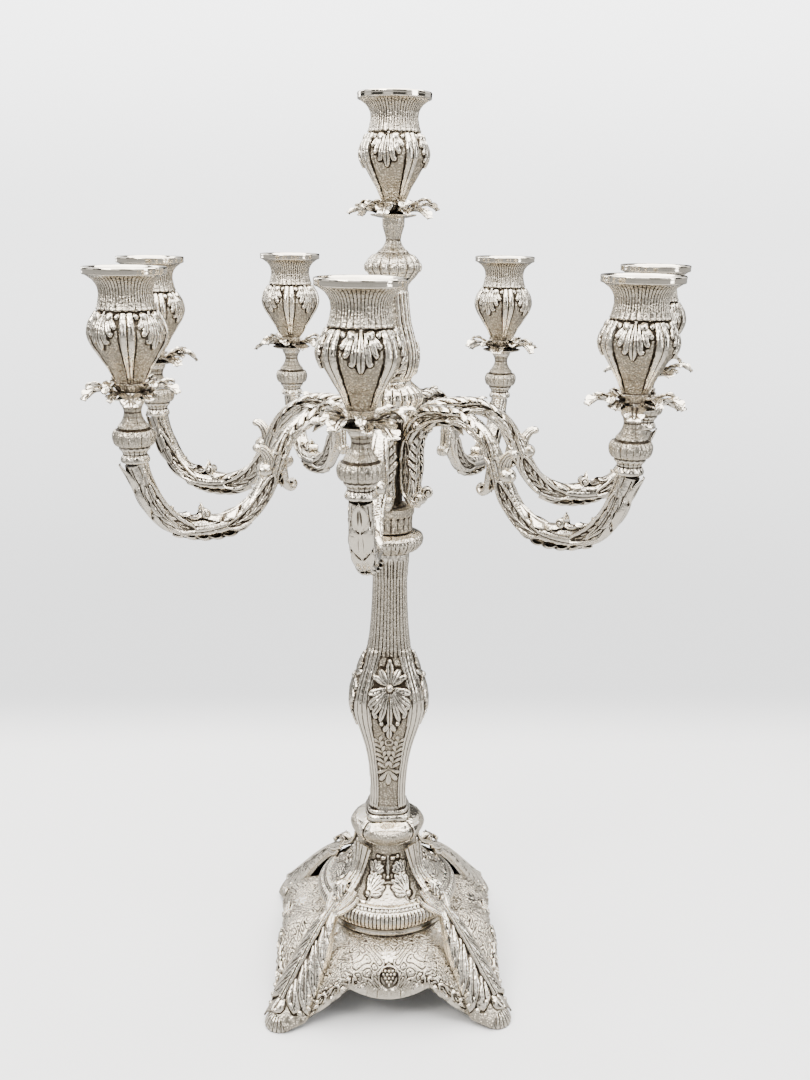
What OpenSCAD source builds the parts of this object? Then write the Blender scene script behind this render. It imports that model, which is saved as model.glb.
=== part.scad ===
// Tabletop candelabra: a square footed base, a four-sided stem, a branch unit with
// seven scroll arms round a hub, and one raised light above them. Units are millimetres,
// +Z is up, the front is -Y, and the origin is on the stem axis at the table.

/* [Overall] */
// Height from the table to the rim of the raised light
total_h = 600; // [560:1:640]
// Distance of an arm's light from the stem axis
light_radius = 171.3; // [165:0.1:180]
// How far the arm lights stand below the raised light
light_drop = 97.8; // [90:0.1:105]
// Direction of the first arm, turned from the front
arm_start = 6.6; // [0:0.1:51]

/* [Lights] */
// Bore of a candle nozzle, for a 22 mm candle
candle_d = 22.5; // [22:0.1:23]
// Depth of the candle bore
candle_depth = 35; // [25:1:36]
// Radius of the polished rim
rim_r = 22.6; // [21.5:0.1:24]
// Wall of the cups and nozzles
wall = 1.2; // [1:0.1:1.5]
// Reach of the leaves of a drip pan
pan_r = 29.5; // [27:0.5:31]
// Leaves round a drip pan
pan_leaves = 6; // [4:1:6]

/* [Stem] */
// Bore of the socket that the branch unit turns in
socket_d = 19.1; // [19:0.05:19.2]
// Running clearance of the branch unit's spigot, on the radius
spigot_gap = 0.05; // [0.02:0.01:0.09]
// Diameter of the two tie rods
rod_d = 6; // [5:0.5:6]

/* [Base] */
// Half width of the apron, across the middle of a side
apron_half = 77.5; // [75:0.5:80]
// Height of the flat top of the apron
apron_top = 47.5; // [45:0.5:50]
// Reach of a toe from the stem axis
toe_reach = 115.6; // [112:0.1:118]
// Thickness of the cast shell
shell = 2.5; // [2:0.1:3]

/* [Hidden] */
ARMS = 7;
LIGHTS = ARMS + 1;
CORNERS = 4;
$fn = 64;
silver = [0.80, 0.78, 0.75];
dark_silver = [0.45, 0.43, 0.40];

// Small error of each arm's setting, in degrees from the even spacing
arm_set = [0, 0.4, 1, -6.3, -1.2, -0.8, -3.3];
// Clearance of a rod or screw in its hole, and of a face that only rests
hole_gap = 0.1;
seat_gap = 0.05;
// Gap under the turning branch unit
turn_gap = 0.3;

// Levels of the stacked pieces, from the table up
washer_z = apron_top - shell;
ring_top = 69;
dish_z = 103.6;
stem_z = 119.7;
capital_z = 316;
socket_top = 330;
socket_floor = 292;
hub_z = 347.2;
hub_top = 413;
ring2_top = 430;
baluster_top = 486;
// Heights of a light's parts, below its rim
cup_mouth = 4.3;
cup_floor = 47;
cup_foot = 69.6;
pan_t = 1.8;
// The arm's end, and the radius of the studs and screws
arm_end_z = 395;
stud_r = 2.4;
screw_r = 1.5;
screw_zs = [366, 392];

function flip(points) = [for (i = [len(points) - 1:-1:0]) points[i]];
function rim_z(k) = k == LIGHTS ? total_h : total_h - light_drop;
function arm_angle(k) = arm_start + (k - 1) * 360 / ARMS + arm_set[k - 1];

// A ring of points of a rounded square: squareness 2 is a circle, 3 is nearly square
function square_r(a, n, t) = a / pow(pow(abs(cos(t)), n) + pow(abs(sin(t)), n), 1 / n);
function square_ring(z, a, n, sides) = [
  for (i = [0:sides - 1])
    let(t = 360 * i / sides, r = square_r(a, n, t))
      [r * cos(t), r * sin(t), z]
];

// Faces between rings of equal length, with both ends closed
function skin_faces(rings, sides) = concat(
  [for (j = [0:rings - 2], i = [0:sides - 1])
    [j * sides + i, (j + 1) * sides + i, (j + 1) * sides + (i + 1) % sides]],
  [for (j = [0:rings - 2], i = [0:sides - 1])
    [j * sides + i, (j + 1) * sides + (i + 1) % sides, j * sides + (i + 1) % sides]],
  [[for (i = [0:sides - 1]) i]],
  [[for (i = [sides - 1:-1:0]) (rings - 1) * sides + i]]
);

// A solid through rows of [height, half width, squareness], lowest row first
module loft(rows, sides = 32) {
  points = [for (row = rows) each square_ring(row[0], row[1], row[2], sides)];
  polyhedron(points, skin_faces(len(rows), sides), convexity = 6);
}

// The unit direction of a path at point i
function path_dir(path, i) =
  let(a = path[max(i - 1, 0)], b = path[min(i + 1, len(path) - 1)], d = [b[0] - a[0], b[1] - a[1]])
    d / norm(d);

// A bar swept in the X-Z plane through rows of [x, z, half thickness, half width]
module sweep(path, sides = 12) {
  points = [
    for (k = [0:len(path) - 1])
      let(p = path[k], d = path_dir(path, k))
        for (i = [0:sides - 1])
          let(t = 360 * i / sides, h = p[2] * cos(t), w = -p[3] * sin(t))
            [p[0] - d[1] * h, w, p[1] + d[0] * h]
  ];
  polyhedron(points, skin_faces(len(path), sides), convexity = 8);
}

// Turns a piece built along +X to the direction of arm k
module at_arm(k) {
  rotate([0, 0, -90 - arm_angle(k)])
    children();
}

// Moves a piece built on the axis to the place of light k
module at_light(k) {
  if (k == LIGHTS)
    children();
  else
    at_arm(k)
      translate([light_radius, 0, 0])
        children();
}

module hex_nut(hole_r, across, h) {
  difference() {
    cylinder(r = across / 2 / cos(30), h = h, $fn = 6);
    translate([0, 0, -1])
      cylinder(r = hole_r, h = h + 2);
  }
}

// ---- Base ----

// Height of the apron's lower edge at a place u along a side
edge_low = 20.5;
edge_cusp = 29.7;
cusp_u = 26.5;
toe_u = 68.5;
function edge_z(u) =
  u <= cusp_u ? edge_low + (edge_cusp - edge_low) * pow(u / cusp_u, 2)
  : u >= toe_u ? 0
  : edge_cusp * pow(1 - (u - cusp_u) / (toe_u - cusp_u), 1.3);

// The apron is full along a side and falls away under the corner leaves
apron_in = 36;
apron_neck = 46.5;
corner_pull = 2.5;
function corner_w(t) = pow(abs(sin(2 * t)), 4);
function apron_reach(t) = apron_half / max(abs(cos(t)), abs(sin(t))) + corner_pull * corner_w(t);
function apron_bow(t) = 2.6 - 1.5 * corner_w(t);
function apron_u(t) = apron_reach(t) * min(abs(cos(t)), abs(sin(t)));
function apron_point(t, f, cut) =
  let(reach = apron_reach(t) - cut, low = edge_z(apron_u(t)), p = apron_bow(t))
  let(r = apron_neck + f * (reach - apron_neck))
  let(z = low + (apron_top - cut - low) * pow(1 - pow(f, p), 1 / p))
    [r * cos(t), r * sin(t), z];
function apron_ring(f, cut, sides) = [for (i = [0:sides - 1]) apron_point(360 * i / sides, f, cut)];
function flat_ring(r, z, sides) = [for (i = [0:sides - 1]) [r * cos(360 * i / sides), r * sin(360 * i / sides), z]];

module apron_shell(sides = 96) {
  steps = [0, 0.25, 0.45, 0.62, 0.76, 0.87, 0.94, 0.98, 1];
  rings = concat(
    [flat_ring(apron_in, apron_top, sides)],
    [for (f = steps) apron_ring(f, 0, sides)],
    [for (f = flip(steps)) apron_ring(f, shell, sides)],
    [flat_ring(apron_in, apron_top - shell, sides)]
  );
  count = len(rings);
  points = [for (ring = rings) each ring];
  faces = [
    for (j = [0:count - 1], i = [0:sides - 1])
      let(n = (j + 1) % count, a = j * sides + i, b = j * sides + (i + 1) % sides)
      let(c = n * sides + (i + 1) % sides, d = n * sides + i)
        each [[a, b, c], [a, c, d]]
  ];
  polyhedron(points, flip(faces), convexity = 10);
}

toe_r = 11.6;
toe_top_r = 6;
toe_h = 9;

module base_foot() {
  color(silver)
    union() {
      apron_shell();
      for (k = [0:CORNERS - 1])
        rotate([0, 0, 45 + 90 * k])
          translate([toe_reach - toe_r, 0, 0])
            cylinder(r1 = toe_r, r2 = toe_top_r, h = toe_h);
    }
}

// Scroll bracket, wing and long leaf in one casting, from the dish down to the toe
leaf_path = [
  [25, 102.4, 1.8, 3.2], [27, 95, 1.8, 3.5], [29.5, 88, 2.2, 4.2], [33.5, 82, 2.4, 4.6], [40, 77, 2.6, 6], [47, 72.5, 2.6, 9],
  [54, 66, 2.4, 8], [60, 60, 2, 6], [68, 52.5, 1.8, 11], [77, 43, 1.8, 16], [86, 33, 1.8, 17],
  [95, 23, 1.8, 14], [102, 15.5, 2, 9], [107, 12.5, 2, 5]
];

module corner_leaf(k) {
  color(silver)
    rotate([0, 0, 45 + 90 * (k - 1)])
      sweep(leaf_path);
}

module milled_ring() {
  color(silver)
    difference() {
      rotate_extrude()
        union() {
          polygon([[38, apron_top], [47, apron_top], [46, 52], [46, 66], [43.5, ring_top], [38, ring_top]]);
          translate([46, 60])
            circle(r = 4.8);
        }
      translate([0, 0, 40])
        cylinder(r = 38, h = 40);
    }
}

dome_rows = [[69, 42, 2], [73, 37.5, 2.05], [78, 31.5, 2.15], [84, 26, 2.3], [90, 22.6, 2.4],
  [96.6, 20.9, 2.4], [dish_z, 20.3, 2.4]];

module base_dome() {
  color(silver)
    difference() {
      loft(dome_rows, 48);
      loft([for (row = dome_rows) [row[0] - shell, row[1] - shell, row[2]]], 48);
      cylinder(r = rod_d / 2 + hole_gap, h = 150);
    }
}

module dish_collar() {
  color(silver)
    rotate_extrude()
      polygon([
        [rod_d / 2 + hole_gap, dish_z], [21, dish_z], [24, 105.4], [26.4, 108.4], [27.3, 111.4], [27, 113.6],
        [25.4, 115.8], [21.2, 118.3], [16, stem_z], [rod_d / 2 + hole_gap, stem_z]
      ]);
}

// Rows of the four-sided stem: height, half width and squareness
stem_rows = [
  [119.7, 16.2, 4], [122, 16.4, 4], [124, 14.6, 4], [128, 13.7, 3.6], [136, 13.2, 3.2], [144, 13.4, 3],
  [152, 13.9, 3], [160, 14.7, 3], [168, 15.9, 3], [176, 17.7, 2.8], [184, 19.9, 2.8], [192, 22.9, 2.6],
  [199, 25.2, 2.5], [206, 26.6, 2.5], [214, 26.6, 2.5], [221.5, 25, 2.5], [229, 22, 2.6], [237, 18.4, 2.8],
  [245, 15.6, 3], [255, 14.1, 3], [266, 13.1, 3], [281, 12.3, 3], [295, 11.9, 3], [306, 12.2, 3], [316, 13.4, 2.6]
];
bridge_low = 130;
bridge_high = 282;

module stem() {
  color(silver)
    difference() {
      loft(stem_rows);
      cylinder(r = rod_d / 2 + hole_gap, h = socket_floor + 1);
      translate([0, 0, bridge_low])
        cylinder(r = 8, h = bridge_high - bridge_low);
      translate([0, 0, socket_floor])
        cylinder(d = socket_d, h = 40);
    }
}

module stem_capital() {
  color(silver)
    rotate_extrude()
      polygon([
        [socket_d / 2, capital_z], [13.4, capital_z], [19, 318.5], [21.8, 321.8], [22.6, 325.1],
        [21.8, 327.6], [20, 329], [16, socket_top], [socket_d / 2, socket_top]
      ]);
}

rod_low = 34;
plate_t = 2;
nut_h = 5;

module tie_rod() {
  color(dark_silver)
    translate([0, 0, rod_low])
      cylinder(d = rod_d, h = bridge_high + 6 - rod_low);
}

module base_plate() {
  color(dark_silver)
    difference() {
      translate([0, 0, washer_z - plate_t])
        cylinder(r = 42, h = plate_t);
      cylinder(r = rod_d / 2 + hole_gap, h = 100);
    }
}

module base_nut() {
  color(dark_silver)
    translate([0, 0, washer_z - plate_t - nut_h])
      hex_nut(rod_d / 2 + hole_gap / 2, 10, nut_h);
}

// ---- Branch unit ----

module branch_hub() {
  hub_r = 7.8;
  spigot_r = socket_d / 2 - spigot_gap;
  bore_r = rod_d / 2 + hole_gap;
  color(silver)
    difference() {
      rotate_extrude()
        polygon([
          [bore_r, socket_floor + turn_gap], [spigot_r, socket_floor + turn_gap],
          [spigot_r, socket_top + turn_gap], [14.6, socket_top + turn_gap], [14.6, 342.4],
          [15.8, 342.6], [15.8, hub_z - 0.4], [15, hub_z], [hub_r, hub_z], [hub_r, hub_top], [bore_r, hub_top]
        ]);
      for (k = [1:ARMS], z = screw_zs)
        at_arm(k)
          translate([3.2, 0, z])
            rotate([0, 90, 0])
              cylinder(r = screw_r + hole_gap, h = 8, $fn = 24);
    }
}

module hub_ring() {
  color(silver)
    rotate_extrude()
      polygon([
        [rod_d / 2 + hole_gap, hub_top], [18, hub_top], [19.9, 415.5], [21.1, 419.4], [19.8, 423.2],
        [16, 426.4], [12.6, 429], [12.4, ring2_top], [rod_d / 2 + hole_gap, ring2_top]
      ]);
}

baluster_rows = [
  [430, 12.4, 2.4], [433, 14, 2.6], [436, 15.6, 2.8], [439.5, 16.6, 3], [444, 17.1, 3], [449, 16.8, 3],
  [455, 15.5, 3], [461, 13.5, 3], [467, 11.9, 2.8], [473.5, 11, 2.8], [480, 10.3, 2.6], [486, 10, 2.2]
];

module upper_baluster() {
  color(silver)
    difference() {
      loft(baluster_rows);
      cylinder(r = rod_d / 2 + hole_gap, h = total_h);
    }
}

module upper_knop() {
  bore_r = rod_d / 2 + hole_gap;
  color(silver)
    rotate_extrude()
      polygon([
        [bore_r, baluster_top], [9.6, baluster_top], [9.8, 488.7], [12.1, 491.7], [14.9, 494.7],
        [17.3, 497.8], [17.8, 499.5], [17.5, 501.6], [16.2, 504], [14, 506.2], [10.4, 508.5], [7.1, 510.9],
        [5.6, 513.3], [4.7, 515.7], [5.2, 518], [6.2, 521.6], [7, 523.9],
        [7.2, total_h - cup_foot - pan_t], [bore_r, total_h - cup_foot - pan_t]
      ]);
}

module centre_rod() {
  rod_top = total_h - cup_floor + 3.2;
  color(dark_silver)
    union() {
      translate([0, 0, 352])
        cylinder(d = rod_d, h = rod_top - 352);
      translate([0, 0, total_h - cup_floor])
        cylinder(r = 5.6, h = 2.6, $fn = 6);
    }
}

// Centre line of an arm: leg beside the hub, arch, junction scroll, and the long lower curve
arm_path = [
  [23.5, 352.5, 2.5, 2.4], [19, 353.6, 3.8, 3.4], [15.8, 358.5, 4.6, 3.8], [14.4, 366, 5.2, 4], [14, 376, 5.6, 4],
  [14, 386, 5.6, 4], [14.8, 394, 5.6, 4], [18.5, 401.5, 5.4, 4.1], [26, 407.6, 5, 4.3], [36, 411.3, 4.7, 4.5],
  [48, 412.4, 4.7, 4.6], [59, 411.2, 4.8, 4.7], [68.5, 407, 5.2, 4.8], [75.5, 400.8, 5.6, 5], [80.5, 393, 6, 5.2],
  [84.5, 384, 6.4, 5.6], [89, 374.6, 6.4, 6], [94.5, 365.6, 6.4, 6.2], [102, 357.4, 6.3, 6.4],
  [112.5, 352, 6.2, 6.5], [125, 350.6, 6.2, 6.6], [138, 351.6, 6, 6.6], [148, 355.2, 6, 6.5],
  [156, 361.6, 6, 6.5], [162, 370, 6.1, 6.4], [166.3, 379, 6.2, 6.3], [169.5, 387.4, 6.2, 6.2], [171.1, 394, 6, 6], [171.3, 399, 6, 6]
];
// Scroll ends and leaf tips of an arm: place, radius and half width
arm_scrolls = [[24.5, 355.5, 3.6, 3.2], [91.5, 386.5, 5.4, 4.8], [78.5, 378, 3.2, 4.2], [131, 360.5, 4, 4.6]];

module arm(k) {
  color(silver)
    at_arm(k)
      difference() {
        union() {
          sweep(arm_path);
          for (s = arm_scrolls)
            translate([s[0], s[3], s[1]])
              rotate([90, 0, 0])
                cylinder(r = s[2], h = 2 * s[3], $fn = 32);
        }
        translate([light_radius, 0, arm_end_z])
          cylinder(r = 20, h = 10);
        translate([light_radius, 0, arm_end_z - 7])
          cylinder(r = stud_r + hole_gap, h = 10);
        for (z = screw_zs)
          translate([6, 0, z])
            rotate([0, 90, 0])
              cylinder(r = screw_r + hole_gap, h = 9.2, $fn = 24);
      }
}

module hub_screws() {
  color(dark_silver)
    for (k = [1:ARMS], z = screw_zs)
      at_arm(k)
        translate([4, 0, z])
          rotate([0, 90, 0])
            cylinder(r = screw_r, h = 11, $fn = 24);
}

module light_studs() {
  base_z = arm_end_z - 6.8;
  floor_z = rim_z(1) - cup_floor;
  color(dark_silver)
    for (k = [1:ARMS])
      at_light(k) {
        translate([0, 0, base_z])
          cylinder(r = stud_r, h = floor_z + 1 - base_z);
        translate([0, 0, floor_z])
          cylinder(r = 5.6, h = 2.6, $fn = 6);
      }
}

module arm_knop(k) {
  bore_r = stud_r + hole_gap;
  pan_z = rim_z(k) - cup_foot - pan_t;
  color(silver)
    at_light(k)
      rotate_extrude()
        polygon([
          [bore_r, arm_end_z], [6.2, arm_end_z], [8, 396], [8.2, 397.4], [7.6, 398.6], [6.6, 400],
          [7.4, 402], [9.6, 404.4], [11.5, 407], [12.2, 409.4], [12.2, 411.6], [11.2, 413.8], [9, 416],
          [6.8, 418.6], [5.4, 421.4], [4.9, 424], [5.4, 426.4], [6.6, 428.6], [7, pan_z], [bore_r, pan_z]
        ]);
}

// ---- Lights ----

// Half outline of one leaf of a drip pan: width at a share s of its length
function leaf_w(s) = 8.2 * pow(sin(180 * min(1, s * 0.86 + 0.1)), 0.8) * (1 + 0.16 * cos(360 * 3 * s));
leaf_steps = 14;
leaf_root = 7;

module pan_leaf() {
  side = [for (i = [0:leaf_steps]) let(s = i / leaf_steps) [leaf_root + s * (pan_r - leaf_root), leaf_w(s)]];
  linear_extrude(height = pan_t)
    polygon(concat(side, [for (p = flip(side)) [p[0], -p[1]]]));
}

// How far each pan was screwed round
pan_set = [10, 38, 0, 25, 47, 5, 30, -75];

module drip_pan(k) {
  pan_z = rim_z(k) - cup_foot - pan_t;
  bore_r = (k == LIGHTS ? rod_d / 2 : stud_r) + hole_gap;
  color(silver)
    at_light(k)
      translate([0, 0, pan_z])
        difference() {
          union() {
            cylinder(r = 12.5, h = pan_t);
            for (i = [0:pan_leaves - 1])
              rotate([0, 0, pan_set[k - 1] + 360 * (i + 0.5) / pan_leaves])
                translate([leaf_root, 0, 0])
                  rotate([0, i % 2 == 0 ? -10 : 4, 0])
                    translate([-leaf_root, 0, 0])
                      pan_leaf();
          }
          translate([0, 0, -3])
            cylinder(r = bore_r, h = 10);
          translate([0, 0, pan_t])
            cylinder(r = 9, h = 6);
        }
}

// Outside of a cup from its mouth down: radius, and depth below the rim
cup_out = [
  [20.9, 4.3], [19.6, 5], [17.2, 6.6], [15.5, 8.8], [14.5, 11], [14.1, 14.3], [14.4, 17.6], [15.2, 21],
  [15.9, 22.1], [15.6, 24.4], [18, 26.6], [19.8, 29.4], [20.8, 32.3], [21.1, 35.1], [20.5, 37.9], [19, 41.3],
  [16.9, 44.8], [14.2, 49.4], [11.2, 54], [9.1, 58.6], [8.2, 60.9], [6.7, 63.2], [6.1, 66.7], [6.9, 69.6]
];
nozzle_r = candle_d / 2 + wall;

module candle_cup(k) {
  bore_r = (k == LIGHTS ? rod_d / 2 : stud_r) + hole_gap;
  neck_r = nozzle_r + 0.3;
  top = rim_z(k);
  inside = [
    [neck_r, cup_floor], [neck_r + 1, 42], [18.6, 38], [19.2, 35], [18.8, 32], [17, 28.5], [13.6, 25],
    [neck_r, 23], [neck_r, 9.6], [15, 6.4], [18.2, 4.3]
  ];
  color(silver)
    at_light(k)
      translate([0, 0, top])
        rotate_extrude()
          polygon(concat(
            [for (p = cup_out) [p[0], -p[1]]],
            [[bore_r, -cup_foot], [bore_r, -cup_floor]],
            [for (p = inside) [p[0], -p[1]]]
          ));
}

module candle_nozzle(k) {
  bore_r = candle_d / 2;
  lip = 5;
  color(silver)
    at_light(k)
      translate([0, 0, rim_z(k)])
        rotate_extrude()
          polygon([
            [0, -lip - candle_depth - wall], [nozzle_r, -lip - candle_depth - wall], [nozzle_r, -8.6],
            [14, -6.4], [17.4, -cup_mouth + seat_gap], [rim_r - 0.4, -cup_mouth + seat_gap],
            [rim_r, -cup_mouth + 0.6], [rim_r, -0.5], [rim_r - 0.5, 0], [rim_r - 2, 0], [18.5, -2.2],
            [14, -3.8], [bore_r, -lip], [bore_r, -lip - candle_depth], [0, -lip - candle_depth]
          ]);
}

base_foot();
for (k = [1:CORNERS]) corner_leaf(k);
milled_ring();
base_dome();
dish_collar();
stem();
stem_capital();
tie_rod();
base_plate();
base_nut();
branch_hub();
hub_ring();
upper_baluster();
upper_knop();
centre_rod();
hub_screws();
light_studs();
for (k = [1:ARMS]) arm(k);
for (k = [1:ARMS]) arm_knop(k);
for (k = [1:LIGHTS]) drip_pan(k);
for (k = [1:LIGHTS]) candle_cup(k);
for (k = [1:LIGHTS]) candle_nozzle(k);
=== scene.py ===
"""Visual model of the tabletop candelabra: cast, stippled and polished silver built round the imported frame.

Shapes are worked out in millimetres in the frame's own axes (+Z up, front -Y) and turned into metres
when a mesh is made. Most pieces are a plain surface of a few measured points that carries relief:
petals, reeds, beads and scrolls as heights above it. Free leaves are sheets with lobes and furrows.
"""
import math

import bpy
import numpy as np
from mathutils import Matrix, Vector


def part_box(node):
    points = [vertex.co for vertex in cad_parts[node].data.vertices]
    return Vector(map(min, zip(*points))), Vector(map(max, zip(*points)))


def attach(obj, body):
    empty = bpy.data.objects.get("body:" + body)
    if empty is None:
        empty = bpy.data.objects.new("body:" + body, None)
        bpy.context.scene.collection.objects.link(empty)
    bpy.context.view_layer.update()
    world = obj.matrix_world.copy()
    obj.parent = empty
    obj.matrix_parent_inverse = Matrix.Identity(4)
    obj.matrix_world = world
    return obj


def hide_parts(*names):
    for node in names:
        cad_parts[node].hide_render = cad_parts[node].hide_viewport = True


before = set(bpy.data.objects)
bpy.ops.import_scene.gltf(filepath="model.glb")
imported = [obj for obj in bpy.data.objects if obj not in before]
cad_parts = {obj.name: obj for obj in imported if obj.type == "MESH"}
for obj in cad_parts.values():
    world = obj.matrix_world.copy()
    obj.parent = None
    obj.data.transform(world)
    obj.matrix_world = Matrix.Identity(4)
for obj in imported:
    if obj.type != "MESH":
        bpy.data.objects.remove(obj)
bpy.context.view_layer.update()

MM = 0.001
TAU = 2 * math.pi
ARMS = 7
LIGHTS = 8
CORNERS = 4


# ---- curves and steps

def smooth(t):
    """0 below 0, 1 above 1, and an easy slope between."""
    t = np.clip(t, 0, 1)
    return t * t * (3 - 2 * t)


def window(x, low, high, soft):
    """1 between low and high, fading over soft outside it."""
    return smooth((x - low) / soft + 1) * smooth((high - x) / soft + 1)


def hump(d, half):
    """Round hump of half width half over the distance d: 1 in the middle, 0 outside."""
    q = np.clip(np.abs(d) / np.maximum(half, 1e-6), 0, 1)
    return np.sqrt(1 - q * q)


def reeds(theta, count):
    """Round reeds side by side round the axis: 1 on a crest, 0 in a groove."""
    t = np.mod(theta * count / TAU, 1) * 2 - 1
    return np.sqrt(1 - t * t)


def banded(theta, z, rows):
    """Reeded bands round a turned piece. Rows are (low, high, soft, height, number of reeds, drop)."""
    return sum(window(z, low, high, soft) * (height * reeds(theta, count) - drop)
               for low, high, soft, height, count, drop in rows)


def fold(theta, count):
    """The signed angle from the middle of the nearest of count equal sectors; sector 0 is at theta 0."""
    width = TAU / count
    return np.mod(theta + width / 2, width) - width / 2


def catmull(points, count):
    """A smooth curve through points (any number of columns), as count rows evenly spaced in length."""
    p = np.asarray(points, float)
    ends = np.vstack([2 * p[0] - p[1], p, 2 * p[-1] - p[-2]])
    rows = []
    for i in range(1, len(ends) - 2):
        t = np.linspace(0, 1, 24, endpoint=False)[:, None]
        a, b, c, d = ends[i - 1], ends[i], ends[i + 1], ends[i + 2]
        rows.append(0.5 * (2 * b + (c - a) * t + (2 * a - 5 * b + 4 * c - d) * t ** 2
                           + (3 * b - a - 3 * c + d) * t ** 3))
    dense = np.vstack(rows + [p[-1:]])
    return even(dense, count)


def even(dense, count, columns=3):
    """Resamples a dense line evenly by the length of its first columns."""
    steps = np.linalg.norm(np.diff(dense[:, :columns], axis=0), axis=1)
    length = np.concatenate([[0], np.cumsum(steps)])
    at = np.linspace(0, length[-1], count)
    return np.stack([np.interp(at, length, dense[:, k]) for k in range(dense.shape[1])], axis=1)


def rounded(profile, step, soft):
    """A profile of straight stretches, resampled every step and with its corners rounded over soft."""
    p = np.asarray(profile, float)
    length = np.linalg.norm(np.diff(p, axis=0), axis=1).sum()
    fine = even(p, max(8, int(length / step) + 1), 2)
    reach = int(3 * soft / step)
    if reach < 1:
        return fine
    k = np.exp(-0.5 * (np.arange(-reach, reach + 1) * step / soft) ** 2)
    k /= k.sum()
    padded = np.vstack([2 * fine[0] - fine[1:reach + 1][::-1], fine,
                        2 * fine[-1] - fine[-reach - 1:-1][::-1]])
    return np.stack([np.convolve(padded[:, c], k, "valid") for c in range(2)], axis=1)


# ---- mesh parts

class Part:
    """Vertices in millimetres, faces, and how stippled each vertex is (0 polished, 1 matt ground)."""

    def __init__(self):
        self.v, self.f, self.s, self.count = [], [], [], 0

    def add(self, v, faces, stipple=0):
        v = np.asarray(v, float).reshape(-1, 3)
        for f in faces:
            self.f.append(np.asarray(f, np.int64) + self.count)
        self.v.append(v)
        self.s.append(np.broadcast_to(np.asarray(stipple, float).reshape(-1), (len(v),)).copy())
        self.count += len(v)
        return self

    def merge(self, other, matrix=None):
        v = np.vstack(other.v)
        mirrored = False
        if matrix is not None:
            m = np.asarray(matrix, float)
            v = v @ m[:3, :3].T + m[:3, 3]
            mirrored = np.linalg.det(m[:3, :3]) < 0
        for f in other.f:
            self.f.append((f[:, ::-1] if mirrored else f) + self.count)
        self.v.append(v)
        self.s.append(np.concatenate(other.s))
        self.count += len(v)
        return self


def grid_faces(rows, cols, wrap_cols, wrap_rows=False):
    """Quads of a grid whose vertex number is row * cols + column."""
    r = np.arange(rows if wrap_rows else rows - 1)
    c = np.arange(cols if wrap_cols else cols - 1)
    r, c = np.meshgrid(r, c, indexing="ij")
    r2, c2 = (r + 1) % rows, (c + 1) % cols
    return np.stack([r * cols + c, r * cols + c2, r2 * cols + c2, r2 * cols + c], axis=-1).reshape(-1, 4)


def grid_normals(p, wrap_cols, wrap_rows=False):
    """Unit normals of a grid of points, pointing along columns x rows."""
    def slope(axis, wrap):
        if wrap:
            return np.roll(p, -1, axis) - np.roll(p, 1, axis)
        return np.gradient(p, axis=axis)
    n = np.cross(slope(1, wrap_cols), slope(0, wrap_rows))
    return n / np.maximum(np.linalg.norm(n, axis=-1, keepdims=True), 1e-12)


def tube_faces(rows, cols):
    """Faces of a grid that closes round its columns, with a flat cap at both ends."""
    ring = np.arange(cols)[None, :]
    return [grid_faces(rows, cols, True), ring[:, ::-1], ring + (rows - 1) * cols]


def lathe(profile, cols, step=0.5, soft=0.3, section=None, relief=None, inside=None):
    """A turned surface with relief. profile is (radius, height) listed upwards on the outside.

    section(theta, z) scales the radius; relief(theta, z, r) gives (height, stipple).
    inside is the hollow side's profile, listed downwards, which is left plain."""
    p = rounded(profile, step, soft)
    outer = len(p)
    closed = inside is not None
    if closed:
        p = np.vstack([p, rounded(inside, 4 * step, 0)])
    theta = np.linspace(0, TAU, cols, endpoint=False)[None, :]
    z = np.repeat(p[:, 1:2], cols, axis=1)
    r = np.broadcast_to(p[:, 0:1] * (section(theta, z) if section else np.ones_like(theta)), z.shape)
    base = np.stack([r * np.cos(theta), r * np.sin(theta), z], axis=-1)
    stipple = np.zeros(z.shape)
    if relief:
        h, stipple = relief(theta + np.zeros_like(z), z, r)
        h, stipple = h + np.zeros_like(z), stipple + np.zeros_like(z)
        h[outer:], stipple[outer:] = 0, 0.2
        if closed:
            h[0], h[outer - 1] = 0, 0
        base = base + grid_normals(base, True, closed) * h[..., None]
    faces = [grid_faces(len(p), cols, True, True)] if closed else tube_faces(len(p), cols)
    return Part().add(base, faces, stipple)


def unit(v):
    return v / np.linalg.norm(v, axis=-1, keepdims=True)


def path_frame(points, side):
    """Unit vectors along, across and up at every point of a path whose across direction is near side."""
    tangent = unit(np.gradient(points, axis=0))
    up = unit(np.cross(tangent, np.broadcast_to(np.asarray(side, float), points.shape)))
    return tangent, np.cross(up, tangent), up


def sweep(path, side, section, cols, relief=None):
    """A bar along path (rows of x, y, z). side is the across direction at every row.

    section(theta) gives (up, across) in half sizes, scaled by sizes in path's columns 4 and 5."""
    xyz = path[:, :3]
    _, across, up = path_frame(xyz, side)
    theta = np.linspace(0, TAU, cols, endpoint=False)
    u, w = section(theta)
    grid = (xyz[:, None, :] + up[:, None, :] * (u[None, :, None] * path[:, 3][:, None, None])
            - across[:, None, :] * (w[None, :, None] * path[:, 4][:, None, None]))
    stipple = 0.0
    if relief:
        share = np.linspace(0, 1, len(path))[:, None]
        h, stipple = relief(share + 0 * theta[None, :], theta[None, :] + 0 * share)
        grid = grid + grid_normals(grid, True) * h[..., None]
    return Part().add(grid, tube_faces(len(path), cols), stipple)


def squareness(theta, power):
    """Radius of a superellipse of half width 1: power 2 is a circle, larger is squarer."""
    return (np.abs(np.cos(theta)) ** power + np.abs(np.sin(theta)) ** power) ** (-1 / power)


def ellipse(theta, power=2):
    """Section of a bar as (up, across). Theta 0 is up."""
    k = squareness(theta, power)
    return np.cos(theta) * k, np.sin(theta) * k


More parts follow.
